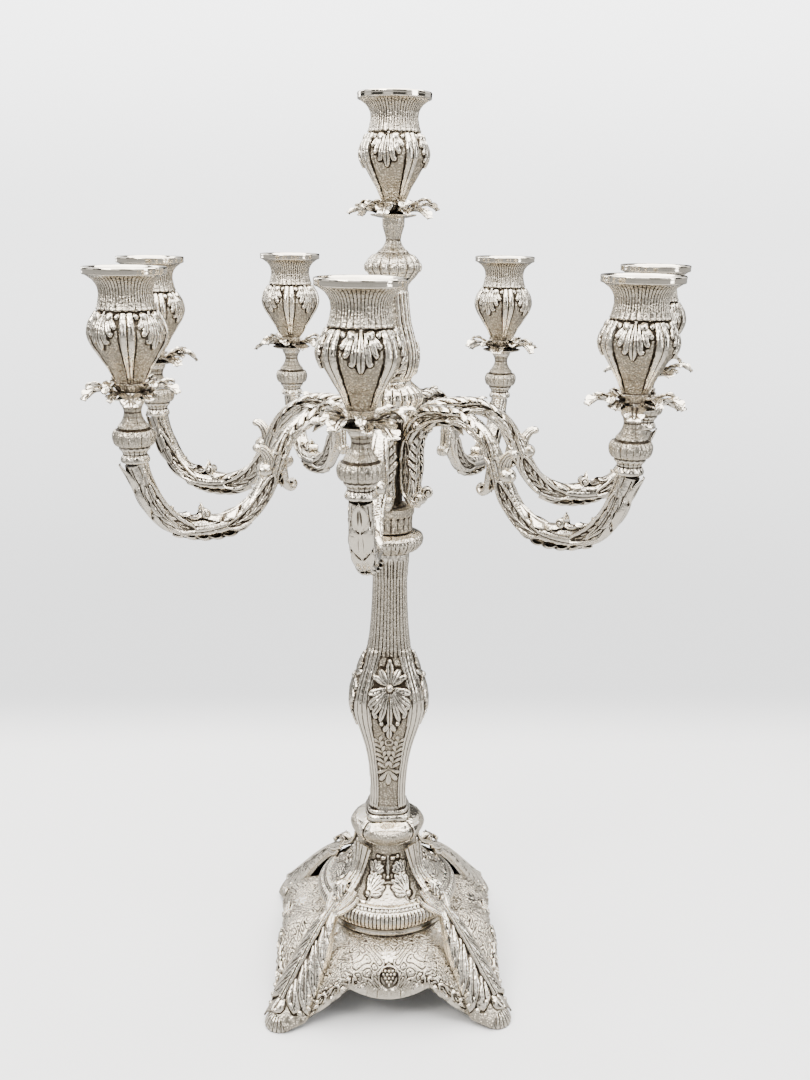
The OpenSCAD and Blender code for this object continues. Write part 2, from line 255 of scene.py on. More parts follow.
def sheet(top, low, stipple):
    """A closed sheet between two grids of points, its upper and its lower face."""
    rows, cols = top.shape[:2]
    wide = 2 * cols
    near = np.arange(cols)
    far = wide - 1 - near
    cap = np.stack([near[:-1], near[1:], far[1:], far[:-1]], axis=1)
    faces = [grid_faces(rows, wide, True), cap[:, ::-1], cap + (rows - 1) * wide]
    return Part().add(np.concatenate([top, low[:, ::-1]], axis=1), faces, stipple)


def leaf(spine, side, width, lobes=5, skew=0.55, notch=0.45, furrow=0.5, cup=0.35, thick=0.7,
         rows=60, cols=21, tip=0.12, rib=0.5):
    """A cast acanthus leaf: a lobed sheet along spine, closed all round.

    width(s) is the half width in millimetres at the share s of the length. Lobes sweep forwards by
    skew of the width, with notches between them; furrow is the depth of the folds between lobes, cup
    bends the sides towards the leaf's upper face, and rib raises the middle."""
    spine = catmull(spine, rows)
    s = np.linspace(0, 1, rows)
    tangent, across, down = path_frame(spine, side)
    up = -down[:, None, :]
    t = np.linspace(-1, 1, cols)
    phase = np.mod(s * lobes, 1)
    lobe = np.sqrt(np.clip(1 - (2 * phase - 1) ** 2, 0, 1)) ** 0.8
    end = np.sqrt(np.clip(1 - ((s - (1 - tip)) / tip).clip(0) ** 2, 0, 1))
    w = np.array([width(x) for x in s]) * end
    edge = w * (1 - notch * (1 - lobe) * window(s, 0.06, 0.97, 0.05))
    a = np.abs(t)[None, :]
    out = np.sign(t)[None, :] * (a * edge[:, None])
    ahead = skew * w[:, None] * a ** 1.5
    folds = furrow * (lobe[:, None] - 0.5) * smooth(a * 1.6)
    middle = rib * np.exp(-(t[None, :] / 0.13) ** 2) * (0.35 + 0.65 * (1 - s[:, None]))
    lift = cup * w[:, None] * a ** 2 + folds + middle
    half = 0.5 * thick * np.sqrt(np.clip(1 - a ** 6, 0.04, 1)) * (0.4 + 0.6 * end[:, None])
    plate = (spine[:, None, :] + across[:, None, :] * out[..., None] + tangent[:, None, :] * ahead[..., None]
             + up * lift[..., None])
    return sheet(plate + up * half[..., None], plate - up * half[..., None], 0)


def ball(centre, radius, squash=(1, 1, 1), cols=20):
    """A bead, as a closed globe of quads and two small caps."""
    lat = np.linspace(-0.48 * math.pi, 0.48 * math.pi, cols // 2)
    lon = np.linspace(0, TAU, cols, endpoint=False)
    g = np.stack([np.cos(lat)[:, None] * np.cos(lon), np.cos(lat)[:, None] * np.sin(lon),
                  np.sin(lat)[:, None] + 0 * lon], axis=-1)
    v = np.asarray(centre, float) + radius * g * np.asarray(squash, float)
    return Part().add(v, tube_faces(len(lat), cols))


def coil(centre, radius, half, direction=1, cols=60, turns=1.6):
    """The rolled end of a scroll: a short drum across the y axis with a spiral on both faces."""
    x, y, z = centre
    rim = [(0.3, 1.15), (radius * 0.3, 1.15), (radius * 0.42, 1), (radius * 0.86, 1), (radius, 0.75)]
    profile = [(r, -half * h) for r, h in rim] + [(r, half * h) for r, h in reversed(rim)]

    def relief(theta, z, r):
        face = smooth((radius * 0.95 - r) / 0.3) * smooth((r - radius * 0.36) / 0.3)
        spin = theta * direction * np.sign(z) - TAU * turns * r / radius
        return face * 0.13 * radius * (0.5 * np.cos(spin) - 0.5), 0 * r

    drum = lathe(profile, cols, 0.35, 0.25, relief=relief)
    return Part().merge(drum, [[1, 0, 0, x], [0, 0, 1, y], [0, -1, 0, z], [0, 0, 0, 1]])


# ---- relief on a flat patch

def petal(x, y, base, angle, length, width, height, groove=0.35, tip=0.32):
    """Height of a raised petal with a furrow down its middle. angle is in degrees from straight
    down, towards +x; groove is the furrow's depth and tip the rounded end, as shares."""
    a = math.radians(angle)
    dx, dy = math.sin(a), -math.cos(a)
    s = ((x - base[0]) * dx + (y - base[1]) * dy) / length
    t = (x - base[0]) * -dy + (y - base[1]) * dx
    end = np.sqrt(np.clip(1 - ((s - (1 - tip)) / tip).clip(0) ** 2, 0, 1))
    w = width * (0.34 + 0.66 * smooth(s / (1 - tip))) * end
    q = t / np.maximum(w, 1e-6)
    inside = (s > 0) & (s < 1) & (np.abs(q) < 1)
    dome = np.sqrt(np.clip(1 - q * q, 0, 1)) * (1 - groove * np.exp(-(q / 0.24) ** 2))
    return np.where(inside, height * dome * (0.45 + 0.55 * smooth(1.4 * s)), 0)


def knob(x, y, centre, radius, height):
    return height * hump(np.hypot(x - centre[0], y - centre[1]), radius)


def top_of(*heights):
    out = heights[0]
    for h in heights[1:]:
        out = np.maximum(out, h)
    return out


def sprig(x, y, petals, knobs=()):
    """Petals and round knobs as one relief, mirrored across x = 0.

    Rows are (x, y, angle, length, width, height), with the depth of the furrow as a share of the
    height if it isn't the usual one, and (x, y, radius, height)."""
    ax = np.abs(x)
    return top_of(*[petal(ax, y, row[:2], *row[2:]) for row in petals],
                  *[knob(ax, y, row[:2], *row[2:]) for row in knobs])


def side_of(theta, r):
    """On the nearest of four sides: the distance along it from its middle, and from its corner."""
    side = fold(theta, 4)
    return side * r, (math.pi / 4 - np.abs(side)) * r


# ---- materials

class Nodes:
    """Short calls for building the node tree of a material or a world."""

    def __init__(self, owner):
        owner.use_nodes = True
        self.owner, self.tree = owner, owner.node_tree
        self.shader = self.tree.nodes.get("Principled BSDF")

    def node(self, kind, values=(), **settings):
        n = self.tree.nodes.new(kind)
        for key, value in settings.items():
            setattr(n, key, value)
        for key, value in dict(values).items():
            n.inputs[key].default_value = value
        return n

    def link(self, output, target):
        self.tree.links.new(output, target)

    def feed(self, sockets, values):
        """Links each value that is a socket and sets each that is a number or a colour."""
        for socket, value in zip(sockets, values):
            if isinstance(value, bpy.types.NodeSocket):
                self.link(value, socket)
            else:
                socket.default_value = (*value, 1) if isinstance(value, tuple) else value

    def attribute(self, name):
        return self.node("ShaderNodeAttribute", attribute_name=name).outputs["Fac"]

    def math(self, operation, a, b=0, clamp=False):
        n = self.node("ShaderNodeMath", operation=operation, use_clamp=clamp)
        self.feed(n.inputs, (a, b))
        return n.outputs[0]

    def ramp(self, value, low, high, to_low=0, to_high=1):
        limits = {"From Min": low, "From Max": high, "To Min": to_low, "To Max": to_high}
        n = self.node("ShaderNodeMapRange", limits, interpolation_type="SMOOTHSTEP")
        self.link(value, n.inputs["Value"])
        return n.outputs["Result"]

    def mix(self, fac, a, b):
        n = self.node("ShaderNodeMix", data_type="RGBA")
        self.link(fac, n.inputs["Factor"])
        self.feed(n.inputs[6:8], (a, b))
        return n.outputs[2]

    def bump(self, height, strength, distance):
        n = self.node("ShaderNodeBump", {"Strength": strength, "Distance": distance})
        self.link(height, n.inputs["Height"])
        self.link(n.outputs["Normal"], self.shader.inputs["Normal"])

    def split(self, vector):
        """The x, y and z of a vector."""
        n = self.node("ShaderNodeSeparateXYZ")
        self.link(vector, n.inputs[0])
        return n.outputs

    def blend(self, fac, a, b, target):
        """Mixes two shaders by fac and links the result to target."""
        n = self.node("ShaderNodeMixShader")
        self.feed(n.inputs, (fac, a, b))
        self.link(n.outputs[0], target)

    def noise(self, coords, scale, detail=3, rough=0.55):
        n = self.node("ShaderNodeTexNoise", {"Scale": scale, "Detail": detail, "Roughness": rough})
        self.link(coords, n.inputs["Vector"])
        return n.outputs["Fac"]


# Colours of the clean silver, its matt ground, the oxide in its hollows (also the painted shade where its
# parts hide one another), and a warm film
SILVER = (0.96, 0.88, 0.745)
GROUND = (0.88, 0.785, 0.63)
TARNISH_AND_SHADE = (0.05, 0.038, 0.026)
WARM = (0.52, 0.44, 0.34)


def silver(name, polish=0.17, tarnish_and_shade_gain=1, warm=0.35, swell=2, shade_all=0):
    """Silver with dark oxide kept in its hollows, painted shade where its parts hide one another,
    matt stippled grounds and rubbed bright edges.

    polish is the roughness of the bare metal, swell the unevenness of the casting, and shade_all how
    dark the painted shade is wherever the piece isn't stippled."""
    n = Nodes(bpy.data.materials.new(name))
    coords = n.node("ShaderNodeTexCoord").outputs["Object"]
    cavity, stipple = n.attribute("cavity"), n.attribute("stipple")
    cloud = n.noise(coords, 90, 4)
    fine = n.noise(coords, 900, 2)
    # painted shade: ambient occlusion darkens the metal where its parts hide one another
    occlusion = n.node("ShaderNodeAmbientOcclusion", {"Distance": 0.006}, samples=4).outputs["AO"]
    hollow = n.ramp(cavity, -0.01, 0.15)
    shade = n.ramp(occlusion, 0.8, 0.2)
    # the oxide in the hollows and the painted shade together darken the colour
    tarnish_and_shade = n.math("MAXIMUM", hollow, n.math("MULTIPLY", shade, 0.92))
    # painted shade over the whole piece wherever it isn't stippled
    if shade_all:
        tarnish_and_shade = n.math("MAXIMUM", tarnish_and_shade, n.ramp(stipple, 0.5, 0.1, 0, shade_all))
    uneven = n.ramp(cloud, 0.25, 0.7, 0.75, 1.15)
    tarnish_and_shade = n.math("MULTIPLY", n.math("MULTIPLY", tarnish_and_shade, uneven), tarnish_and_shade_gain, clamp=True)
    cells = n.node("ShaderNodeTexVoronoi", {"Scale": 760, "Randomness": 1}, feature="F1")
    n.link(coords, cells.inputs["Vector"])
    pits = n.ramp(cells.outputs["Distance"], 0.15, 0.62)
    pitted = n.math("MULTIPLY", pits, stipple)
    tone = n.mix(stipple, SILVER, GROUND)
    film = n.math("MULTIPLY", n.ramp(cloud, 0.45, 0.75), warm)
    tone = n.mix(n.math("MULTIPLY", film, n.math("ADD", n.math("MULTIPLY", stipple, 0.6), 0.25)), tone, WARM)
    tone = n.mix(n.math("MULTIPLY", pitted, 0.62), tone, TARNISH_AND_SHADE)
    n.link(n.mix(tarnish_and_shade, tone, TARNISH_AND_SHADE), n.shader.inputs["Base Color"])
    bare = n.ramp(fine, 0.3, 0.8, polish * 0.8, polish * 1.35)
    rough = n.math("ADD", n.math("MULTIPLY", stipple, 0.24), bare)
    n.link(n.math("ADD", rough, n.math("MULTIPLY", tarnish_and_shade, 0.35), clamp=True), n.shader.inputs["Roughness"])
    n.shader.inputs["Metallic"].default_value = 1.0
    uneven_cast = n.noise(coords, 260, 2)
    height = n.math("SUBTRACT", n.math("MULTIPLY", fine, 0.12), pitted)
    height = n.math("ADD", height, n.math("MULTIPLY", uneven_cast, swell))
    n.bump(height, 0.8, 0.0005)
    return n.owner


def steel(name):
    """Plain turned steel of the hidden rods and nuts."""
    n = Nodes(bpy.data.materials.new(name))
    coords = n.node("ShaderNodeTexCoord").outputs["Object"]
    grain = n.noise(coords, 600, 3)
    n.link(n.mix(n.ramp(n.noise(coords, 60), 0.4, 0.7), (0.42, 0.40, 0.38), (0.26, 0.235, 0.21)),
           n.shader.inputs["Base Color"])
    n.link(n.ramp(grain, 0.3, 0.7, 0.32, 0.55), n.shader.inputs["Roughness"])
    n.shader.inputs["Metallic"].default_value = 1.0
    n.bump(grain, 0.2, 0.0002)
    return n.owner


CAST = silver("cast_silver")
POLISHED = silver("polished_silver", polish=0.06, tarnish_and_shade_gain=0.5, warm=0.1, swell=0.1)
# silver painted dark wherever it isn't stippled: painted shade for the hub tube among the arms
HUB_SHADE_SILVER = silver("silver_painted_shade", polish=0.2, warm=0.6, shade_all=0.93)
STEEL = steel("hidden_steel")


# ---- objects

def cavity_of(verts, normals, edges, reach):
    """How far each vertex lies below its surroundings, in millimetres, at two scales."""
    count = len(verts)
    a, b = edges[:, 0], edges[:, 1]
    degree = np.bincount(a, minlength=count) + np.bincount(b, minlength=count)
    degree = np.maximum(degree, 1)[:, None]
    p = verts.copy()
    found = np.zeros(count)
    for step in range(1, reach + 1):
        total = np.stack([np.bincount(a, p[b, k], count) + np.bincount(b, p[a, k],
                                                                       count) for k in range(3)], axis=1)
        p = 0.5 * p + 0.5 * total / degree
        if step in (max(2, reach // 4), reach):
            found = found + ((p - verts) * normals).sum(axis=1)
    return found


def mesh_of(name, part, material, reach=16, gain=1):
    verts = np.vstack(part.v) * MM
    loops, starts, totals = [], [], []
    at = 0
    for f in part.f:
        loops.append(f.reshape(-1))
        k = f.shape[1]
        starts.append(at + np.arange(len(f)) * k)
        totals.append(np.full(len(f), k))
        at += f.size
    mesh = bpy.data.meshes.new(name)
    mesh.vertices.add(len(verts))
    mesh.vertices.foreach_set("co", verts.astype(np.float32).reshape(-1))
    mesh.loops.add(at)
    mesh.loops.foreach_set("vertex_index", np.concatenate(loops).astype(np.int32))
    mesh.polygons.add(sum(len(t) for t in totals))
    mesh.polygons.foreach_set("loop_start", np.concatenate(starts).astype(np.int32))
    mesh.update(calc_edges=True)
    mesh.validate()
    mesh.shade_smooth()
    mesh.set_sharp_from_angle(angle=math.radians(62))
    edges = np.zeros(len(mesh.edges) * 2, np.int32)
    mesh.edges.foreach_get("vertices", edges)
    normals = np.zeros(len(mesh.vertices) * 3, np.float32)
    mesh.vertices.foreach_get("normal", normals)
    cavity = gain * cavity_of(verts / MM, normals.reshape(-1, 3), edges.reshape(-1, 2), reach)
    for label, values in (("cavity", cavity), ("stipple", np.concatenate(part.s))):
        layer = mesh.attributes.new(label, "FLOAT", "POINT")
        layer.data.foreach_set("value", values.astype(np.float32))
    mesh.materials.append(material)
    return mesh


def place(name, data):
    o = bpy.data.objects.new(name, data)
    bpy.context.scene.collection.objects.link(o)
    return o


def piece(name, mesh, body, node, matrix=None):
    """One visible piece that stands for a CAD node."""
    if matrix is not None:
        # the mesh itself is moved, so that the object's box stays tight round a turned piece
        mesh = mesh.copy()
        mesh.transform(matrix)
    o = place(name, mesh)
    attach(o, body)
    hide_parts(node)


def cast(name, part, body, node):
    """A piece of cast silver that is used once."""
    piece(name, mesh_of(name, part, CAST), body, node)


def centre_of(node):
    low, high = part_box(node)
    return (low + high) / 2


def turned(degrees):
    return Matrix.Rotation(math.radians(degrees), 4, "Z")


def outwards(node):
    """A turn about the Z axis that brings +X to the side on which the node lies."""
    mid = centre_of(node)
    return Matrix.Rotation(math.atan2(mid.y, mid.x), 4, "Z")


def light_matrix(k, turn=0):
    """Places a light built round the Z axis with its rim at height 0 and its front along +X."""
    nozzle = f"candle_nozzle_{k}"
    mid, top = centre_of(nozzle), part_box(nozzle)[1].z
    facing = outwards(nozzle) if k < LIGHTS else turned(-90)
    return Matrix.Translation((mid.x, mid.y, top)) @ facing @ turned(turn)


# How far each cup was screwed round from facing straight out, in degrees
CUP_TURN = [6.6, 24, 0, 20, -10, 12, 20, -14]
PAN_TURN = [10, 38, 0, 25, 47, 5, 30, 15]
PAN_DROP = 69.6  # height of a rim above its pan


# ---- lights

CUP_OUT = [
    (20.9, 4.35), (19.6, 5), (17.2, 6.6), (15.5, 8.8), (14.5, 11), (14.1, 14.3), (14.4, 17.6), (15.2, 21),
    (15.9, 22.1), (15.7, 23.4), (17.2, 25.6), (19.4, 29), (20.4, 32.3), (20.7, 35.1), (20.1, 37.9),
    (18.6, 41.3), (16.5, 44.8), (13.9, 49.4), (11, 54), (9, 58.6), (8, 60.9), (6.7, 63.2), (6.1, 66.7),
    (6.7, 68.4), (7.2, 69.5)]
CUP_IN = [(2.6, 69.5), (2.6, 48), (12.6, 47), (13.4, 42), (17.5, 37), (17.4, 32), (12.8, 24.5), (12.75, 9.6),
          (15, 6.4), (18.2, 4.35)]


def cup_relief(theta, z, r):
    d = -z
    side = fold(theta, 4)
    neck = window(d, 5.6, 17.5, 1.5)
    height = neck * (0.5 * reeds(theta, 56) - 0.28)
    edge = 22.5 - 1.5 * (1 - reeds(theta, 28))
    lappet = smooth((d - 13.5) / 7) * smooth((edge - d) / 0.3)
    height = height + 0.5 * lappet * (0.3 + 0.7 * reeds(theta, 28))
    groove = window(d, 22, 23.2, 0.5) * (1 - smooth((edge - d) / 0.3))
    height = height - 0.15 * groove
    # two smooth ribs between the panels, narrowing downwards
    spread = np.radians(5.9 - 1.2 * smooth((d - 38) / 20))
    away = math.pi / 4 - np.abs(side)
    length = smooth((d - 22.8) / 1.2) * smooth((63 - d) / 6)
    ribs = (1.35 - 0.5 * smooth((d - 40) / 14)) * length * hump(away - spread, spread * 0.98)
    bed = (away < 2 * spread) * length
    trench = 0.15 * length * hump(away - 2 * spread - 0.03, 0.04)
    spray = sprig(side * r, 23.0 - d, [
        (0, 0.2, 0, 19.6, 2.2, 1.7, 0.5), (1.8, -1.4, 8, 15, 1.8, 1.4), (3.4, -1.8, 20, 11, 1.7, 1.3),
        (4.6, -2, 36, 7.6, 1.6, 1.1)], [
        (4.6, -15.2, 1.2, 1.2), (7.3, -11.2, 1.35, 1.3), (9, -7.4, 1.3, 1.2), (4.3, -2.4, 2.3, 1.7),
        (8.6, -2.2, 1.6, 1)])
    spray = spray * (1 - bed)
    ground = window(d, 23.2, 62, 0.8) * (1 - bed) * (spray < 0.05)
    height = height + np.maximum(ribs, spray) - 0.25 * ground - trench * (spray < 0.05)
    foot = window(d, 63.5, 69.5, 0.4)
    height = height + foot * 0.35 * (reeds(theta, 16) - 0.5)
    matt = np.clip(ground + 0.45 * window(d, 5.6, 21.2, 0.8), 0, 1)
    return height, matt


def cup_part():
    outside = [(r, -d) for r, d in reversed(CUP_OUT)]
    return lathe(outside, 336, 0.42, 0.3, relief=cup_relief, inside=[(r, -d) for r, d in reversed(CUP_IN)])


def nozzle_relief(theta, z, r):
    band = (r > 20.5) & (z < -0.2)
    return np.where(band, 0.16 * reeds(theta, 12) - 0.16, 0), np.zeros_like(r)


def nozzle_part():
    profile = [(0.3, -41.1), (12.4, -41.1), (12.45, -8.8), (14, -6.5), (17.4, -4.3), (21.9, -4.25),
               (22.45, -3.7), (22.2, -2.6), (22.5, -0.6), (22, -0.05), (20.8, -0.1), (19.2, -1.3),
               (16.5, -2.9), (13, -4.2), (11.4, -5.3), (11.25, -8), (11.25, -39.9), (0.3, -39.9)]
    return lathe(profile, 144, 0.8, 0.22, relief=nozzle_relief)


def pan_leaf(direction, reach, tilt, curl, width, lobes, sway):
    """One leaf of a drip pan along direction degrees, rising by tilt and curling down at its tip."""
    a = math.radians(direction)
    along, aside = np.array([math.cos(a), math.sin(a)]), np.array([-math.sin(a), math.cos(a)])
    share = np.array([0.2, 0.38, 0.56, 0.74, 0.88, 1])
    r = reach * share
    z = 0.5 + tilt * np.array([0, 0.7, 1.6, 2.3, 2.3, 1.7]) - curl * np.array([0, 0, 0, 0.25, 0.7, 1.2])
    spine = np.column_stack([r[:, None] * along + (sway * share ** 2)[:, None] * aside, z])
    return leaf(spine, (along[1], -along[0], 0), tapered(width, 0.4, 0.5, 0.5), lobes=lobes, skew=0.9,
                notch=0.72, furrow=1.5, cup=0.16, thick=0.85, rows=42, cols=17, tip=0.1, rib=0.9)


def pan_part(seed):
    """A drip pan: a small dished plate under ragged leaves that cup and curl."""
    rng = np.random.default_rng(seed)
    plate = [(2.7, -1.8), (8, -1.8), (13.5, -0.6), (14.5, 0.2), (13.5, 0.5)]
    part = lathe(plate, 72, 0.5, 0.3, inside=[(13.5, 0.5), (8, -0.2), (2.7, -0.1)])
    for i in range(6):
        direction = 60 * i + 30
        tilt = 0.8 + 1.2 * (i % 2) + rng.uniform(-0.3, 0.4)
        part.merge(pan_leaf(direction, 27.6, tilt, rng.uniform(0.5, 4.2), 6.4, 5, rng.uniform(-1, 1)))
        for sign in (1, -1):
            part.merge(pan_leaf(direction + 21 * sign, 22.6 + rng.uniform(-1, 1.5),
                                tilt + rng.uniform(-0.2, 1.6), rng.uniform(-1.6, 2.4), 4, 4, 2.4 * sign))
    return part


ARM_KNOP = [(6, 395.05), (7.9, 396), (8.2, 397.4), (7.6, 398.8), (6.4, 400.2), (7, 402), (9.4, 404.4),
            (11.2, 407), (11.8, 409.4), (11.8, 411.6), (10.8, 413.8), (8.8, 416), (6.6, 418.6), (5.2, 421.4),
            (4.7, 424), (5.2, 426.4), (6.4, 428.6), (6.9, 430.8)]


def arm_knop_relief(theta, z, r):
    h = banded(theta, z, [(405.6, 414.2, 0.9, 0.45, 20, 0.2), (416, 427, 1, 0.25, 8, 0.2),
                          (399, 403.4, 0.5, 0.5, 16, 0.3), (428, 430.6, 0.3, 0.35, 14, 0.175)])
    h = h - 0.7 * hump(z - 415.1, 0.9) - 0.6 * hump(z - 404.6, 0.9)
    return h, 0.65 * window(z, 416, 427, 1) + 0.5 * window(z, 405.6, 414.2, 0.9)


UPPER_KNOP = [(9.4, 486.05), (9.8, 488.7), (12.1, 491.7), (14.7, 494.7), (16.8, 497.8), (17.2, 499.5),
              (16.9, 501.6), (15.8, 504), (13.7, 506.2), (10.2, 508.5), (7, 510.9), (5.4, 513.3),
              (4.6, 515.7), (5, 518), (6, 521.6), (6.8, 523.9), (7, 528.6)]


def upper_knop_relief(theta, z, r):
    belly = window(z, 493, 507, 1.5)
    h = banded(theta, z, [(493, 507, 1.5, 0.85, 18, 0.612), (508, 527, 1, 0.45, 8, 0.315)])
    beads = hump(z - 499.5, 2.8) * smooth((reeds(theta, 18) - 0.75) / 0.2)
    h = h + 0.8 * belly * beads - 0.5 * hump(z - 508, 1)
    return h, 0.5 * np.maximum(window(z, 508, 527, 1), 0.5 * belly)


def build_lights():
    cup = mesh_of("cup", cup_part(), CAST)
    nozzle = mesh_of("nozzle", nozzle_part(), POLISHED)
    pans = [mesh_of(f"pan_{i}", pan_part(11 + i), CAST, 10, 2) for i in range(3)]
    for k in range(1, LIGHTS + 1):
        piece(f"cup_{k}", cup, "branches", f"candle_cup_{k}", light_matrix(k, CUP_TURN[k - 1]))
        piece(f"nozzle_{k}_rim", nozzle, f"nozzle_{k}", f"candle_nozzle_{k}", light_matrix(k))
        pan = light_matrix(k, PAN_TURN[k - 1]) @ Matrix.Translation((0, 0, -PAN_DROP * MM))
        piece(f"pan_{k}", pans[k % 3], "branches", f"drip_pan_{k}", pan)
    bore = [(2.6, 430.8), (2.6, 395.05)]
    knop = mesh_of("arm_knop", lathe(ARM_KNOP, 192, 0.42, 0.25, relief=arm_knop_relief, inside=bore), CAST)
    for k in range(1, ARMS + 1):
        node = f"arm_knop_{k}"
        mid = centre_of(node)
        piece(f"knop_{k}", knop, "branches", node, Matrix.Translation((mid.x, mid.y, 0)) @ outwards(node))
    top = lathe(UPPER_KNOP, 320, 0.4, 0.3, relief=upper_knop_relief, inside=[(3.1, 528.6), (3.1, 486.05)])
    cast("knop_centre", top, "branches", "upper_knop")


# ---- arms

# Rows of (distance from the axis, height, half thickness, half width)
ARM_PATH = [
    (24.6, 352.2, 2.2, 2.4), (19, 353.6, 3.6, 3.4), (15.8, 358.5, 4.4, 3.8), (14.6, 366, 4.8, 3.9),
    (14.4, 376, 5, 3.9), (14.6, 386, 5, 3.9), (15.4, 394, 5, 3.9), (19, 401.3, 4.8, 4),
    (26, 407.2, 4.5, 4.1), (36, 410.8, 4.2, 4.3), (48, 411.8, 4.2, 4.4), (59, 410.6, 4.3, 4.5),
    (68.5, 406.4, 4.6, 4.6), (75.5, 400.2, 4.8, 4.7), (80.5, 392.6, 5.2, 4.8), (85, 384, 5.6, 5),
    (89.4, 374.6, 5.8, 5.2), (94.8, 365.9, 5.8, 5.4), (102.2, 357.8, 5.7, 5.5), (112.6, 352.4, 5.6, 5.5),
    (125, 351, 5.4, 5.5), (137.8, 352, 5.4, 5.5), (147.7, 355.6, 5.4, 5.6), (155.6, 361.9, 5.4, 5.6),
    (161.6, 370.2, 5.5, 5.7), (166, 379.1, 5.7, 5.8), (169.3, 387.4, 5.9, 5.9), (171, 394.9, 6, 6)]
# The hook that ends the arch, and the horn that rises beside it
ARM_HOOK = [(84, 393, 3.4, 4.4), (80.6, 385, 3.2, 4.4), (79, 377.6, 2.8, 4.2), (77.4, 371.4, 2.4, 3.9),
            (74, 368.6, 2.1, 3.6), (71.6, 371, 1.9, 3.2), (72.8, 373.6, 1.6, 3)]
ARM_HORN = [(88.6, 378, 4.2, 4.6), (88.2, 385, 3.7, 4.3), (89.4, 390.4, 3.1, 3.9), (92.4, 394.4, 2.6, 3.5),
            (95.4, 395.8, 2.3, 3.2)]
# Lens-shaped panels on the sides: shares of the length where each starts and ends, and its half height
ARM_PANELS = [(0.035, 0.175, 0.72), (0.20, 0.335, 0.6), (0.315, 0.50, 0.72), (0.545, 0.71, 0.72),
              (0.79, 0.965, 0.7)]


def arm_section(theta):
    return ellipse(theta, 2.3)


def arm_relief(share, theta):
    up, across = arm_section(theta)
    face = smooth((np.abs(across) - 0.62) / 0.12)
    panel, edge = 0, 0
    for low, high, tall in ARM_PANELS:
        mid = np.clip((share - low) / (high - low), 0, 1)
        lens = tall * np.sqrt(np.sin(math.pi * mid)) * (share > low) * (share < high)
        panel = np.maximum(panel, smooth((lens - np.abs(up)) / 0.12) * (lens > 0.05))
        edge = np.maximum(edge, hump(np.abs(up) - lens - 0.13, 0.13) * (lens > 0.05))
    vein = 0.5 + 0.5 * np.cos(TAU * (36 * share + 1.3 * np.abs(up)))
    vein = 0.8 * vein * smooth((np.abs(up) - 0.1) / 0.1) + hump(up, 0.09)
    notches = 0.5 + 0.5 * np.cos(TAU * (150 * share + 0.8 * np.abs(across)))
    keel = 0.6 * (hump(up - 1.02, 0.2) + hump(up + 1.02, 0.2)) * (0.65 + 0.35 * notches)
    keel = keel + 0.55 * face * hump(np.abs(up) - 0.86, 0.07)
    flow = 0.55 * (reeds(1.5 * np.pi * up + 26 * share, 2) - 0.6)
    flow = flow * (1 - panel) * smooth((np.abs(across) - 0.3) / 0.2)
    return face * (0.8 * edge - 1.25 * panel + 0.6 * panel * vein) + keel + flow, 0.3 * face * panel


def ridged(share, theta):
    """Lengthwise flutes for the small scrolls."""
    return 0.5 * (reeds(theta, 10) - 0.8), 0 * share


def tapered(width, start=0.35, full=0.35, power=0.8):
    """Half width of a leaf that opens from start of its width to all of it and closes at the tip."""
    def at(s):
        return width * (start + (1 - start) * float(smooth(s / full))) * (1 - s ** 3) ** power
    return at


ABOVE, BELOW = (0, -1, 0), (0, 1, 0)


def arm_leaves():
    part = Part()
    wrap = dict(cup=-0.36, furrow=1.9, thick=1.3, cols=21, skew=0.7, notch=0.6, rib=0.8)
    rows = [
        # over the arch, with its tips standing off the bar
        (ABOVE, tapered(8.2), 6, [(17, 407), (24, 413.2), (34, 416.6), (45, 417.4), (55, 417), (63, 417.5)]),
        (ABOVE, tapered(7.6), 5, [(44, 416.4), (54, 416.6), (63, 413.8), (71, 408.6), (77.6, 401.5),
                                  (84, 397.5)]),
        (BELOW, tapered(6.2), 7, [(19, 361), (20.6, 372), (20.6, 384), (22.4, 393), (27.2, 398.6)]),
        (BELOW, tapered(5), 3, [(26, 400.6), (35, 405), (45, 406.6), (54, 405.2), (58, 401.6)]),
        (BELOW, tapered(5.6), 4, [(74, 395), (77.4, 388), (80, 380.8), (82, 374), (80, 369.6)]),
        # round the lowest part of the arm
        (BELOW, tapered(7.8), 6, [(101, 350.6), (112, 345.8), (124, 344.4), (136, 345.4), (146, 348.4),
                                  (152, 350)]),
        (ABOVE, tapered(7.2), 4, [(99, 367), (108, 361.4), (118, 357.8), (127, 357.6), (132.6, 361.6),
                                  (133.6, 367)]),
        (ABOVE, tapered(5.8), 3, [(153, 366.6), (147, 361.6), (139, 358.6), (134, 359), (130, 362.4)]),
        # up the outer side, ending in a free tip
        (BELOW, tapered(7.4, 0.5), 3, [(148, 350.2), (158, 356.2), (166.6, 366.4), (172.4, 378),
                                       (176.4, 388.4), (181, 395.4)]),
    ]
    for side, width, lobes, path in rows:
        part.merge(leaf([(r, 0, z) for r, z in path], side, width, lobes=lobes, rows=46, **wrap))
    cheek = [(150, 355.2), (159, 364), (165.2, 375), (168.6, 386), (168, 392.5)]
    top = [(50, 410.5), (60, 409.5), (69, 404.5), (76, 397.5), (80.5, 389.5)]
    for path, reach, width in ((cheek, 5.6, 3.4), (top, 4.6, 2.6)):
        for sign in (1, -1):
            spine = [(r, sign * (reach + 0.4 * (i == len(path) - 1)), z) for i, (r, z) in enumerate(path)]
            part.merge(leaf(spine, (-sign * 0.6, 0, sign * 0.4), tapered(width), lobes=4, rows=40, cols=13,
                            furrow=0.7, cup=0.05, thick=1.2, skew=0.8, notch=0.5, rib=0.5))
    return part


def arm_bar(rows, count, cols, relief):
    """A bar in the arm's plane. Rows are (distance, height, half thickness, half width)."""
    path = catmull([(r, 0, z, t, w) for r, z, t, w in rows], count)
    return sweep(path, (0, 1, 0), arm_section, cols, relief=relief)


